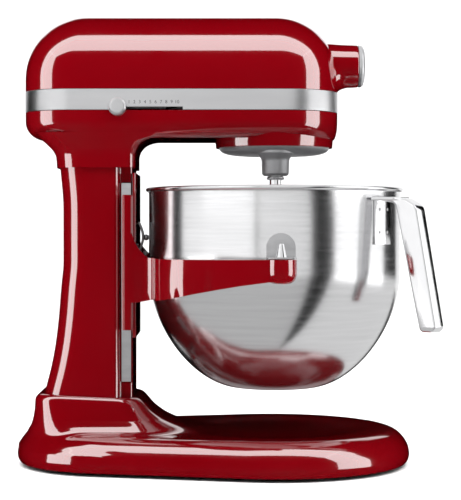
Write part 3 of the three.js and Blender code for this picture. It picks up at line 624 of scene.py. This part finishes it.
# ---- Column --------------------------------------------------------------------------------
# height, rear, and how much wider than the middle each side is
COLUMN = [
    (63, -167.6, 3.4), (75, -165, 2.6), (87, -161.8, 2), (106, -157.8, 1.2), (125, -155, 0.6),
    (144, -153, 0.2), (167, -151.2, 0), (190, -149.2, 0), (238, -149.2, 0), (279, -152.2, 0.8),
]
column_rear = smooth_through([c[0] for c in COLUMN], [c[1] for c in COLUMN])
column_extra = smooth_through([c[0] for c in COLUMN], [c[2] for c in COLUMN])


def column_ring(z, inset):
    half = 46 + column_extra(z) - inset
    tongue = 38 - inset
    front, shoulder = -84.4 - inset, -96 - inset
    rear = column_rear(z) + inset
    corners = [(rear, -half), (shoulder, -half), (shoulder, -tongue), (front, -tongue),
               (front, tongue), (shoulder, tongue), (shoulder, half), (rear, half)]
    r = max(24 - inset, 6)
    return at_height(rounded(corners, [r, 6, 1.5, 3, 3, 1.5, 6, r], 10, 3), z)


def column_skin(name, inset, low, high, steps=12):
    levels = [low + (high - low) * k / steps for k in range(steps + 1)]
    return loft(name, [column_ring(z, inset) for z in levels])


def make_column():
    shell = column_skin("column_shell", 0, 63, 279, 36)
    tools = [column_skin("bore", 5, 62, 280, 8),
             rod("lever_hole", (LEVER_X, 30, LEVER_Z), (LEVER_X, 60, LEVER_Z), 5.4)]
    tools += [block("groove", -95, -85.2, 36.6 * s, 39 * s, 79, 263, 0.05) for s in (-1, 1)]
    cut(shell, *tools)
    place(shell, "stand", "red_enamel", "column_casting")
    for side, s in (("left", -1), ("right", 1)):
        track = block(f"track_{side}", -94.6, -86, 36.9 * s, 38.8 * s, 80, 262, 0.3)
        place(track, "stand", "plain_steel", f"guide_track_{side}")


# ---- Head ----------------------------------------------------------------------------------
HEAD_REAR, HEAD_FRONT, HEAD_HALF, HEAD_TOP = -184.8, 105.3, 59, 417.4
# (reach across, reach down) of the rounding between the top and the rear, front and sides
REAR_TOP, FRONT_TOP, SIDE_TOP = (54.5, 60.2), (55, 56.4), (55, 56)
BAND_LOW, BAND_HIGH = 327.5, 346.5
HEAD_SKIN = 3.5


def drawn_in(past, across, along):
    """How far an elliptical rounding has drawn in, `past` its start."""
    t = min(max(past / along, 0), 1)
    return across * (1 - math.sqrt(1 - t * t))


def upper_ring(z, skin, steps=16, run=8):
    def edge(reach):
        return drawn_in(z - (HEAD_TOP - reach[1]), reach[0] - skin, reach[1] - skin)

    half = HEAD_HALF - skin - edge(SIDE_TOP)
    rear_r = min(46 - skin - edge(REAR_TOP) * 0.6, half - 0.5)
    front_r = min(53 - skin - edge(FRONT_TOP) * 0.8, half - 0.5)
    return plan_rectangle(HEAD_REAR + skin + edge(REAR_TOP), HEAD_FRONT - skin - edge(FRONT_TOP), half,
                          rear_r, front_r, steps, run)


def lower_ring(z, skin):
    under = drawn_in(319 - z, 1, 16)
    half = HEAD_HALF - skin - 12 * under
    return plan_rectangle(HEAD_REAR + skin + 15 * under, HEAD_FRONT - skin - 3.2 * under, half,
                          min(46 - skin, half - 0.5), min(53 - skin, half - 0.5), 16, 8)


def hub_socket():
    """The socket on the head's front, which flares into the head on its underside only."""
    taper = smooth_through([92, 100, 112, 121, 124.2, 124.6], [21.4, 21, 20.2, 19.9, 19.6, 19.2])
    fillet = smooth_through([92, 98, 102, 105.2, 107, 110, 115], [12, 10, 7.5, 4.4, 2.7, 1.1, 0])
    stations = (92, 95, 98, 100, 102, 103.6, 105.2, 106, 107, 108.4, 110, 112.4, 115, 118, 121, 123.6,
                124.2, 124.6)
    socket_rings = []
    for x in stations:
        ring = []
        for k in range(128):
            t = TAU * k / 128
            r = taper(x) + fillet(x) * smoothstep(-math.sin(t), 0.1, 0.95)
            ring.append((x, r * math.cos(t), HUB_Z + r * math.sin(t)))
        socket_rings.append(ring)
    socket = loft("socket", socket_rings)
    inside = [at_height(upper_ring(z, 3.4, 10, 4), z) for z in (340, 362, 378, 390, 400, 408, 413.9)]
    return cut(socket, loft("inside", inside))


def make_upper_head():
    outer = [BAND_HIGH + GAP, 350, 354] + [HEAD_TOP - REAR_TOP[1] * (1 - math.sin(math.radians(a)))
                                          for a in range(0, 91, 3)]
    inner = [HEAD_TOP - HEAD_SKIN - 56 * (1 - math.sin(math.radians(a))) for a in range(90, -1, -9)]
    rings = [at_height(upper_ring(z, HEAD_SKIN), z) for z in inner + [352, BAND_HIGH + GAP]]
    rings += [at_height(upper_ring(z, 0), z) for z in outer]
    shell = loft("upper_head", rings, sharp=40)
    union(shell, hub_socket(), sharp=36)
    cut(shell, rod("bore", (80, 0, HUB_Z), (130, 0, HUB_Z), 12.4, 96),
        rod("screw_hole", (SCREW_X, 10, HUB_Z), (SCREW_X, 32, HUB_Z), 3.6), sharp=36)
    place(shell, "stand", "red_enamel", "upper_head_housing")


def neck():
    """The neck between the column and the head, which flares as it meets the head."""
    neck_rear = smooth_through([276, 286, 291.5, 297.5, 303.5, 308],
                               [-154.8, -155.6, -158.2, -163.8, -170.2, -174.2])
    neck_front = smooth_through([276, 286.8, 292.6, 296.5, 299.4, 302, 303.6, 308],
                                [-81.8, -81.8, -80.5, -78, -74.9, -69, -62.3, -55])
    neck_half = smooth_through([276, 286, 291.5, 297.5, 303.5, 308], [50.2, 50.2, 50.6, 52, 54, 55.6])
    rings = []
    for z in range(276, 309):
        ring = plan_rectangle(neck_rear(z), neck_front(z), neck_half(z), 26, 8, 12, 4)
        rings.append(at_height(ring, z))
    return loft("neck", rings)


def make_lower_head():
    belly_heights = [319 - 16 * math.cos(math.radians(a)) for a in range(0, 91, 9)] + [323, 327.2]
    belly = loft("lower_head", [at_height(lower_ring(z, 0), z) for z in belly_heights], sharp=40)
    drum = lathe("drum", softened([(0, 295.3), (54.5, 295.3), (55.9, 314), (0, 314)], [0.9, 0]),
                 (BOWL_X, 0, 0), segments=160)
    union(belly, neck(), drum, sharp=36)
    hollow_heights = (306.5, 308, 310, 314, 319, 329)
    hollow = loft("hollow", [at_height(lower_ring(z, HEAD_SKIN), z) for z in hollow_heights])
    seat = plan_rectangle(-152.8, -83.6, 47.4, 22, 3, 8, 0)
    passage = plan_rectangle(-147.4, -90, 42, 14, 8, 8, 0)
    mouth = lathe("mouth", [(0, 294), (52.3, 294), (52.3, 298.8), (50.7, 298.8), (50.7, 316), (0, 316)],
                  (BOWL_X, 0, 0), segments=160)
    cut(belly, hollow, loft("seat", [at_height(seat, 275), at_height(seat, 279.3)]),
        loft("passage", [at_height(passage, 275), at_height(passage, 312)]), mouth,
        rod("gland_hole", (GLAND_X, 40, GLAND_Z), (GLAND_X, 60, GLAND_Z), 6.5), sharp=36)
    place(belly, "stand", "red_enamel", "lower_head_housing")


def make_band():
    outer, inner = upper_ring(340, -0.3, 24, 0), upper_ring(340, 3, 24, 0)
    band = prism("band", [outer, inner], BAND_LOW, BAND_HIGH, 0.45)
    cut(band, block("slot", -101, -38, -62, -51, BAND_LOW - 1, 330.4, 0.05))
    place(band, "stand", "satin_metal", "trim_band")


def make_scale():
    """The numbers 1 to 10 above the speed slot, standing just proud of the band."""
    first_x, pitch, base_z, face_y = -86.5, 4.8, 333.3, -59.36
    verts, faces = [], []
    for k in range(10):
        text = bpy.data.curves.new("digit", "FONT")
        text.body = str(k + 1)
        text.size = 4.2 * MM
        text.align_x = "CENTER"
        text.extrude = 0.05 * MM
        data = curve_mesh(text)
        start = len(verts)
        verts += [(v.co.x / MM + first_x + pitch * k, face_y - v.co.z / MM, v.co.y / MM + base_z)
                  for v in data.vertices]
        faces += [tuple(start + i for i in p.vertices) for p in data.polygons]
    place(mesh_object("scale_numbers", verts, faces), "stand", "black_plastic", surface="scale_ink")


def make_speed_knob():
    knob = lathe("knob", softened([(0, -60.2), (8.2, -60.2), (8.2, -64.8), (6.2, -66.7), (0, -67.1)],
                                  [0.4, 1.6, 2.4]), (-97, 0, 330.2), "y", 96)
    union(knob, block("stem", -99, -95, -61, -54, 328.1, 330, 0.2))
    place(knob, "speed_control", "satin_metal", "speed_knob")


def make_gland():
    gland = lathe("gland", softened([(3, 43.8), (6, 43.8), (6, 51.4), (7.6, 51.4), (7.6, 53.4), (6, 54.4),
                                     (5, 60.4), (3, 60.4)], [0.3, 0, 0.5, 0.7, 0.5, 0.8]) + [(3, 43.8)],
                  (GLAND_X, 0, GLAND_Z), "y", 64)
    place(gland, "stand", "rubber", "cord_gland")


def make_attachment_cap():
    cap = lathe("cap", softened([(0, 124.9), (19.6, 124.9), (19.6, 127.6), (18.2, 129.4), (15, 130.7),
                                 (9, 131.3), (0, 131.4)], [0.4, 1.2, 1.5, 2, 3]), (0, 0, HUB_Z), "x", 128)
    place(cap, "hub_cover", "satin_metal", "hub_cap")


def make_attachment_screw():
    flutes = []
    for k in range(160):
        a = TAU * k / 160
        r = 8.3 - 0.9 * max(0.0, math.cos(8 * a)) ** 2
        flutes.append((SCREW_X + r * math.cos(a), HUB_Z + r * math.sin(a)))
    grip = prism("screw_grip", [flutes], 22, 34.5, 1.0, "y", 45)
    union(grip, rod("stem", (SCREW_X, 12.8, HUB_Z), (SCREW_X, 24, HUB_Z), 3.2))
    place(grip, "hub_screw", "black_plastic", "hub_knob")


# ---- Planetary and agitator ----------------------------------------------------------------
CROSS_Z = 244  # the drive pin's height


def make_planetary():
    rim = bezier((30, 288.5), (43, 288.9), (51.4, 290.6), (51.6, 296.2), 18)
    dish = lathe("dish", [(0, 288.4)] + rim + [(51.6, 298), (0, 298)], (BOWL_X, 0, 0),
                 segments=160, sharp=50)
    boss = lathe("boss", softened([(0, 268.6), (10.5, 268.6), (12.4, 270.5), (12.8, 284), (17, 289.4),
                                   (17, 292), (0, 292)], [1.2, 1.6, 6, 1, 0]),
                 (BOWL_X, -ORBIT, 0), segments=96)
    union(dish, boss, sharp=45)
    cut(dish, rod("shaft_hole", (BOWL_X, -ORBIT, 260), (BOWL_X, -ORBIT, 300), 6.1),
        rod("centre_hole", (BOWL_X, 0, 290.5), (BOWL_X, 0, 300), 6.2), sharp=45)
    place(dish, "planetary", "grey_casting", "planetary_carrier")


def make_agitator_shaft():
    shaft = lathe("shaft", softened([(0, 229), (5.6, 229), (5.6, 311.6), (0, 311.6)], [0.8, 0.6]),
                  (BOWL_X, -ORBIT, 0), segments=64)
    cut(shaft, rod("cross_hole", (BOWL_X - 20, -ORBIT, CROSS_Z), (BOWL_X + 20, -ORBIT, CROSS_Z), 2.2))
    place(shaft, "agitator", "polished_steel", "agitator_shaft")
    pin = rod("cross_pin", (BOWL_X - 8.4, -ORBIT, CROSS_Z), (BOWL_X + 8.4, -ORBIT, CROSS_Z), 1.9, 40, 0.5)
    place(pin, "agitator", "polished_steel", "drive_pin")
    ring = lathe("ring", [(5.9, 264.9), (7, 264.95), (7.9, 265.7), (8.2, 266.6), (7.9, 267.5), (7, 268.15),
                          (5.9, 268.2), (5.9, 264.9)], (BOWL_X, -ORBIT, 0), segments=96)
    place(ring, "agitator", "polished_steel", "shaft_ring")


def make_beater():
    right = bezier((16, 97), (44, 104), (66, 128), (68, 168), 24)[:-1]
    right += bezier((68, 168), (69, 200), (40, 214), (9, 224), 20)
    outline = right + [(-x, z) for x, z in reversed(right)]
    low_window = [(5, 109), (15, 107), (38, 122), (54, 146), (5, 172)], [3, 4, 12, 3, 3]
    high_window = [(5, 183), (57, 154), (58.5, 172), (50, 190), (5, 213)], [3, 2, 9, 10, 3]
    windows = []
    for side in (-1, 1):
        for corners, radii in (low_window, high_window):
            windows.append([(side * x + BOWL_X, z) for x, z in rounded(corners, radii, 5)])
    outline = [(x + BOWL_X, z) for x, z in outline]
    beater = prism("beater", [outline] + windows, -ORBIT - 4.5, -ORBIT + 4.5, 1.6, "y", 40)
    collar = lathe("collar", softened([(0, 216), (8, 216), (10.4, 222), (10.4, 256.8), (0, 256.8)],
                                      [0.5, 2, 1]), (BOWL_X, -ORBIT, 0), segments=80)
    union(beater, collar, sharp=40)
    tools = [rod("bore", (BOWL_X, -ORBIT, 228.6), (BOWL_X, -ORBIT, 258), 5.95)]
    for s in (-1, 1):
        x0, x1 = sorted((BOWL_X, BOWL_X + 12 * s))
        tools.append(block("lock", x0, x1, -ORBIT - 2.4 * s, -ORBIT + 7 * s, 241.8, 246.2, 0.1))
        tools.append(block("entry", x0, x1, -ORBIT + 2.6 * s, -ORBIT + 7 * s, 242, 258, 0.1))
    cut(beater, *tools, sharp=40)
    place(beater, "agitator", "satin_metal", "flat_beater")


# ---- Yoke ----------------------------------------------------------------------------------
ARM_TOP, PIN_X, PIN_Y = 193.6, 48, 127.5
RAIL_REAR, RAIL_HALF, PLATE_FRONT, PLATE_BACK = -93.6, 51, -81, -84
ARM_CIRCLE, ARM_ROOT_Y, ARM_TIP_Y = 121.0, 44, 119.2  # the arms' inner edge follows the bowl
SHARP = 0.02  # an edge kept sharp until the whole yoke's edges are softened


def arm_plan():
    """One arm seen from above: its inner edge round the bowl, its tip, and its outer edge."""
    first = math.pi - math.asin(ARM_ROOT_Y / ARM_CIRCLE)
    last = math.pi - math.asin(ARM_TIP_Y / ARM_CIRCLE)
    inner = [(BOWL_X + ARM_CIRCLE * math.cos(first + (last - first) * k / 24),
              ARM_CIRCLE * math.sin(first + (last - first) * k / 24)) for k in range(25)]
    flare_x = [-9.6, -22, -35.9, -45, -52, -57.5, -61, -62.4, -62.3, -64.3, -68.5, -74, -78.5]
    flare_y = [136.5, 135.2, 130.4, 124, 116.6, 108, 98, 86, 66, 57.6, 53.2, 51.2, RAIL_HALF]
    turns = list(range(len(flare_x)))
    curve_x, curve_y = smooth_through(turns, flare_x), smooth_through(turns, flare_y)
    outer = [(curve_x(t / 5), curve_y(t / 5)) for t in range(5 * (len(turns) - 1) + 1)]
    plan = [(RAIL_REAR + 4, ARM_ROOT_Y), (PLATE_FRONT, ARM_ROOT_Y)] + inner + [(58, ARM_TIP_Y)]
    return plan + arc(52, 130.5, 6, 0, 90, 8) + outer + [(RAIL_REAR + 4, RAIL_HALF)]


def arm_web():
    """The curved web, seen from the side, that carries an arm's top up into the rail."""
    web = [(-88, 190), (-69.5, 190), (-69.5, ARM_TOP)]
    for k in range(1, 13):
        t = k / 12
        web.append(((1 - t) ** 2 * -69.5 + 2 * t * (1 - t) * -82 + t * t * -84.4,
                    (1 - t) ** 2 * ARM_TOP + 2 * t * (1 - t) * 203 + t * t * 216))
    return web + [(-88, 216)]


def add_arm(body, s, plan):
    """Joins the arm on side s to the yoke, with the lug that holds its locating pin."""
    under = [(-110, 100), (-110, 150), (-76, 153.8), (-69, 155.2), (-48, 159.6), (-27, 164.2), (-7, 167.9),
             (12, 171), (37, 174.3), (80, 174.6), (80, 100)]
    arm = prism("arm", [[(x, s * y) for x, y in plan]], 140, ARM_TOP, SHARP)
    cut(arm, prism("below", [under], -150, 150, SHARP, "y"))
    belly = bezier((6, 172.7), (11.6, 173.4), (13.4, 178), (13.4, 184), 12)
    lug = lathe("lug", [(0, 172.6), (4, 172.6)] + belly + [(13.4, ARM_TOP - SHARP), (0, ARM_TOP - SHARP)],
                (PIN_X, s * PIN_Y, 0), segments=96)
    cut(lug, block("inside", 20, 80, s * ARM_TIP_Y, s * 99, 160, 200, SHARP))
    union(arm, lug)
    y0, y1 = sorted((s * ARM_ROOT_Y, s * (RAIL_HALF - SHARP)))
    union(body, arm, prism("web", [arm_web()], y0, y1, SHARP, "y"))


def make_yoke():
    plate = plan_rectangle(PLATE_BACK, PLATE_FRONT, 46, 0.4, 2, 6, 0)
    body = prism("yoke_plate", [plate], 121, 271, SHARP)
    rail = [(RAIL_REAR, 40), (-83.4, 40), (-83.4, RAIL_HALF - 2), (-85.4, RAIL_HALF),
            (RAIL_REAR + 2, RAIL_HALF), (RAIL_REAR, RAIL_HALF - 2)]
    for s in (-1, 1):
        union(body, prism("rail", [[(x, s * y) for x, y in rail]], 128, 251, SHARP))
    plan = arm_plan()
    for s in (-1, 1):
        add_arm(body, s, plan)
    soften_edges(body, 1.1, 38, 3, 45)
    place(body, "bowl_yoke", "red_enamel", "yoke")


def make_locating_pins():
    profile = softened([(0, ARM_TOP + GAP), (5.2, ARM_TOP + GAP), (5, 196.3), (2.5, 207.2), (0, 208.2)],
                       [0.3, 1.2, 1.6])
    for side, s in (("left", -1), ("right", 1)):
        pin = lathe(f"pin_{side}", profile, (PIN_X, s * PIN_Y, 0), segments=64)
        place(pin, "bowl_yoke", "polished_steel", f"locating_pin_{side}")


def make_latch_wire():
    bends = [(-80.4, -5, 226), (-77.4, -5, 220), (-76, -5, 211), (-78.6, -5, 203), (-79.8, -5, 197.5)]
    wire = bends + [(-79.8, -3.4, 194.8), (-79.8, 0, 194.4), (-79.8, 3.4, 194.8)]
    wire += [(x, -y, z) for x, y, z in reversed(bends)]
    place(tube_along("latch_wire", wire, 1.0), "bowl_yoke", "plain_steel", "latch_spring")


# ---- Bowl ----------------------------------------------------------------------------------
BOWL_R = 117.5
BOWL_BOTTOM, BOWL_SKIN = 72, 1.2


def make_bowl_shell():
    outer = bezier((38, BOWL_BOTTOM), (76, 76), (BOWL_R, 128), (BOWL_R, 182), 40)
    inner = []
    for i, (r, z) in enumerate(outer):
        a, b = outer[max(i - 1, 0)], outer[min(i + 1, len(outer) - 1)]
        length = math.hypot(b[0] - a[0], b[1] - a[1])
        inner.append((r - BOWL_SKIN * (b[1] - a[1]) / length, z + BOWL_SKIN * (b[0] - a[0]) / length))
    bead = arc(BOWL_R + 0.6, 256.3, 2.2, -100, 165, 16)
    profile = [(0, BOWL_BOTTOM), (20, BOWL_BOTTOM)] + outer + [(BOWL_R, 220), (BOWL_R, 252.6)] + bead
    profile += [(BOWL_R - BOWL_SKIN, 254), (BOWL_R - BOWL_SKIN, 220)] + inner[::-1]
    profile += [(20, BOWL_BOTTOM + BOWL_SKIN), (0, BOWL_BOTTOM + BOWL_SKIN)]
    shell = lathe("bowl_skin", profile, (BOWL_X, 0, 0), segments=192, sharp=40)
    place(shell, "bowl", "brushed_steel", "bowl_shell")


def make_bowl_fittings():
    for side, s in (("left", -1), ("right", 1)):
        w, z0 = 12.8, ARM_TOP + 0.4
        arch = [(PIN_X - w, z0), (PIN_X + w, z0)] + arc(PIN_X, 203.7, w, 0, 180, 24)
        y0, y1 = sorted((s * (BOWL_R + 0.3), s * (BOWL_R + 1.9)))
        bracket = prism(f"bracket_{side}", [arch], y0, y1, 0.35, "y")
        ledge_plan = rounded([(PIN_X - w, s * (BOWL_R + 0.6)), (PIN_X + w, s * (BOWL_R + 0.6)),
                              (PIN_X + w, s * 136.5), (PIN_X - w, s * 136.5)], [0.3, 0.3, 4, 4], 6)
        hole = arc(PIN_X, s * PIN_Y, 5.6, 0, 354, 59)
        union(bracket, prism("ledge", [ledge_plan, hole], z0, z0 + 1.7, 0.3))
        place(bracket, "bowl", "plain_steel", f"bowl_bracket_{side}")
    stud_profile = softened([(0, -76), (1.6, -76), (2.9, -74.6), (2.9, -72.8), (1.7, -71.2), (0, -71.2)],
                            [0.4, 1, 1, 0.3])
    stud = lathe("stud", stud_profile, (0, 0, 212), "x", 48)
    place(stud, "bowl", "plain_steel", "bowl_rear_stud")


HANDLE_ANGLE = -37  # degrees round the bowl from straight ahead


def turned_to_handle(obj):
    """The object moved to the bowl's axis and turned round it to the handle's place."""
    angle = Matrix.Rotation(math.radians(HANDLE_ANGLE), 4, "Z")
    obj.data.transform(Matrix.Translation((BOWL_X * MM, 0, 0)) @ angle)
    return obj


def make_handle():
    profile = rounded([(BOWL_R + 1.2, 249.6), (146, 246.6), (156.6, 240.5), (177.2, 129.6), (160.6, 129.6),
                       (135.4, 243), (BOWL_R + 1.2, 245.4)], [0.2, 8, 10, 5, 5, 6, 0.2], 8)
    bar = prism("handle", [profile], -8.25, 8.25, 2.0, "y", 40, 4)
    w = math.degrees(12.7 / BOWL_R)
    tab = arc(0, 0, BOWL_R + 2, -w, w, 16) + arc(0, 0, BOWL_R + 0.4, w, -w, 16)
    wing = bezier((BOWL_R + 1, -20), (BOWL_R + 9, -16), (BOWL_R + 14, -9), (BOWL_R + 24, -7.6), 12)
    flare = wing + [(r, -y) for r, y in reversed(wing)]
    union(bar, prism("tab", [tab], 206, 249, 0.3), prism("flare", [flare], 245.2, 248.4, 1.0))
    cut(bar, rod("bowl_side", (0, 0, 200), (0, 0, 260), BOWL_R + 0.4, 256), sharp=40)
    place(turned_to_handle(bar), "bowl", "polished_steel", "bowl_handle")


def add_spot_weld(verts, faces, angle, z, sides=24):
    """A low round button on the handle's tab."""
    start = len(verts)
    normal = Vector((math.cos(angle), math.sin(angle), 0))
    across = Vector((-math.sin(angle), math.cos(angle), 0))
    centre = normal * (BOWL_R + 1.9) + Vector((0, 0, z))
    rings = [(1.5, 0), (1.45, 0.18), (1.1, 0.32), (0.6, 0.4)]
    for r, lift in rings:
        for k in range(sides):
            t = TAU * k / sides
            verts.append(tuple(centre + normal * lift + across * (r * math.cos(t))
                               + Vector((0, 0, r * math.sin(t)))))
    for j in range(len(rings) - 1):
        low, high = start + sides * j, start + sides * (j + 1)
        for k in range(sides):
            m = (k + 1) % sides
            faces.append((low + k, low + m, high + m, high + k))
    top = start + sides * (len(rings) - 1)
    faces.append(tuple(top + k for k in range(sides)))
    faces.append(tuple(start + k for k in reversed(range(sides))))


def make_spot_welds():
    verts, faces = [], []
    for dy in (-6.5, 6.5):
        for z in (217, 237.5):
            add_spot_weld(verts, faces, dy / BOWL_R, z)
    place(turned_to_handle(mesh_object("spot_welds", verts, faces)), "bowl", "plain_steel")


# ---- Lift lever ----------------------------------------------------------------------------
def make_lever():
    x, z, length, y = LEVER_X, LEVER_Z, 72, 55
    outline = arc(x, z, 11, 150, 390, 30) + [(x + 5, z + 24), (x + 4.4, z + length), (x - 4.4, z + length),
                                            (x - 5, z + 24)]
    arm = prism("lever", [outline], y - 2.6, y + 2.6, 0.8, "y", 40)
    hub_disc = lathe("disc", softened([(0, y - 3), (10.6, y - 3), (10.6, y + 4), (0, y + 4)], [0.6, 1.2]),
                     (x, 0, z), "y", 80)
    knob = lathe("grip", [(8.2 * math.sin(math.radians(a)), -9.2 * math.cos(math.radians(a)))
                          for a in range(0, 181, 6)], (x, y + 2, z + length), "z", 64)
    cut(knob, block("inner", x - 20, x + 20, 40, y - 3, z, 290, 0.05))
    union(arm, hub_disc, knob, sharp=40)
    place(arm, "lift_handle", "satin_metal", "lift_lever")


make_base()
make_column()
make_upper_head()
make_lower_head()
make_band()
make_scale()
make_speed_knob()
make_gland()
make_attachment_cap()
make_attachment_screw()
make_planetary()
make_agitator_shaft()
make_beater()
make_yoke()
make_locating_pins()
make_latch_wire()
make_bowl_shell()
make_bowl_fittings()
make_handle()
make_spot_welds()
make_lever()

# ---- Parts kept from the frame --------------------------------------------------------------
KEPT = {
    "grey_casting": ["gearbox_frame", "motor_frame"],
    "plain_steel": [
        "lower_centre_bearing", "upper_centre_bearing", "ring_gear", "motor_stator", "hub_sleeve",
        "motor_shaft", "motor_pinion", "lay_shaft", "lay_gear", "drive_bevel_pinion", "centre_shaft",
        "centre_bevel_gear", "planet_pinion", "hub_shaft", "hub_bevel_pinion", "lift_shaft", "lift_crank",
    ],
    "copper_windings": ["motor_armature", "commutator"],
    "brass": ["brush_holder_left", "brush_holder_right"],
    "black_plastic": ["cooling_fan", "speed_slider"],
    "circuit_board": ["control_board"],
}
for slot_name, names in KEPT.items():
    for node_name in names:
        finished(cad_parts[node_name], slot_name)


# ---- Stage, light and camera ---------------------------------------------------------------
def staged(name, corners, colour):
    """A plain sheet of the set, in metres, which the object's surfaces don't mirror."""
    data = bpy.data.meshes.new(name)
    data.from_pydata(corners, [], [tuple(range(len(corners)))])
    obj = bpy.data.objects.new(name, data)
    scene.collection.objects.link(obj)
    made = bpy.data.materials.new(name)
    made.use_nodes = True
    shader = made.node_tree.nodes["Principled BSDF"]
    shader.inputs["Base Color"].default_value = (*colour, 1)
    shader.inputs["Roughness"].default_value = 0.9
    shader.inputs["Specular IOR Level"].default_value = 0.1
    data.materials.append(made)
    obj.visible_glossy = False
    return obj


WHITE = (0.9, 0.9, 0.9)
floor = staged("floor", [(-6, -4, 0), (6, -4, 0), (6, 4, 0), (-6, 4, 0)], WHITE)
backdrop = staged("backdrop", [(-6, 3.9, 0), (6, 3.9, 0), (6, 3.9, 6), (-6, 3.9, 6)], WHITE)
studio = bpy.data.collections.new("studio")
scene.collection.children.link(studio)
for item in (floor, backdrop):
    studio.objects.link(item)


def panel(name, position, target, width, height, radiance, only=None):
    """A soft box that faces a point and gives off a set radiance, and may light one group only."""
    data = bpy.data.lights.new(name, "AREA")
    data.shape = "RECTANGLE"
    data.size, data.size_y = width, height
    data.energy = radiance * math.pi * width * height
    obj = bpy.data.objects.new(name, data)
    scene.collection.objects.link(obj)
    obj.location = position
    way = Vector(target) - Vector(position)
    obj.rotation_euler = way.to_track_quat("-Z", "Y").to_euler()
    obj.visible_camera = False
    if only:
        obj.light_linking.receiver_collection = only
    return obj


# three long strips that join into one arch around the painted parts, and a weaker one behind
ARCH = 4.2
panel("paint_top", (-0.04, -0.46, 1.15), (-0.04, -0.46, 0), 2.0, 0.62, ARCH, painted)
panel("paint_left", (-1.03, -0.46, 0.5), (0, -0.46, 0.5), 0.62, 1.3, ARCH, painted)
panel("paint_right", (0.95, -0.46, 0.5), (0, -0.46, 0.5), 0.62, 1.3, ARCH, painted)
panel("paint_back", (0.0, 1.4, 0.9), (0, 0, 0.2), 1.6, 0.5, 1.2, painted)
# broad soft boxes for the metals, with a gap towards the front right
panel("metal_front", (0.395, -2.2, 0.8), (0.395, 0, 0.8), 1.95, 1.6, 0.86, metals)
panel("metal_left", (-1.34, -0.98, 0.8), (0.05, 0, 0.8), 2.5, 1.6, 1.1, metals)
panel("metal_right", (1.2, -0.25, 0.8), (0, -0.25, 0.8), 1.35, 1.6, 1.25, metals)
# two sheets just above the floor, which the metals mirror from below
for side, centre, width, depth, radiance, turn in (
        ("left", (-0.84, -1.949, 0.004), 3.4, 3.2, 0.52, 211),
        ("right", (1.995, -0.032, 0.004), 2.6, 3.1, 0.74, 51)):
    lit_floor = panel(f"metal_floor_{side}", centre, (0, 0, 1), width, depth, radiance, metals)
    lit_floor.rotation_euler = (math.pi, 0, math.radians(turn))
panel("metal_top", (0, -0.2, 1.6), (0, 0, 0.2), 3.0, 3.0, 0.9, metals)
panel("metal_back", (0, 1.8, 0.9), (0, 0, 0.2), 3.4, 2.2, 1.0, metals)
# the floor and the backdrop
panel("studio_top", (0, -0.4, 3.2), (0, 0, 0), 4.0, 4.0, 2.4, studio)
panel("studio_back", (0, -1.0, 2.2), (0, 3.9, 1.2), 4.0, 3.0, 4.0, studio)

world = bpy.data.worlds.new("room")
scene.world = world
world.use_nodes = True
world.node_tree.nodes["Background"].inputs["Color"].default_value = (1, 1, 1, 1)
world.node_tree.nodes["Background"].inputs["Strength"].default_value = 0.5
world.cycles_visibility.glossy = False

camera_data = bpy.data.cameras.new("camera")
camera_data.lens = 114.3
camera_data.sensor_width = 36
camera_data.shift_x = 0.035
camera = bpy.data.objects.new("camera", camera_data)
scene.collection.objects.link(camera)
camera.location = (-0.0108, -1.492, 0.221)
camera.rotation_euler = (math.radians(89.2), 0, 0)
scene.camera = camera
scene.view_settings.view_transform = "Standard"
scene.view_settings.look = "None"
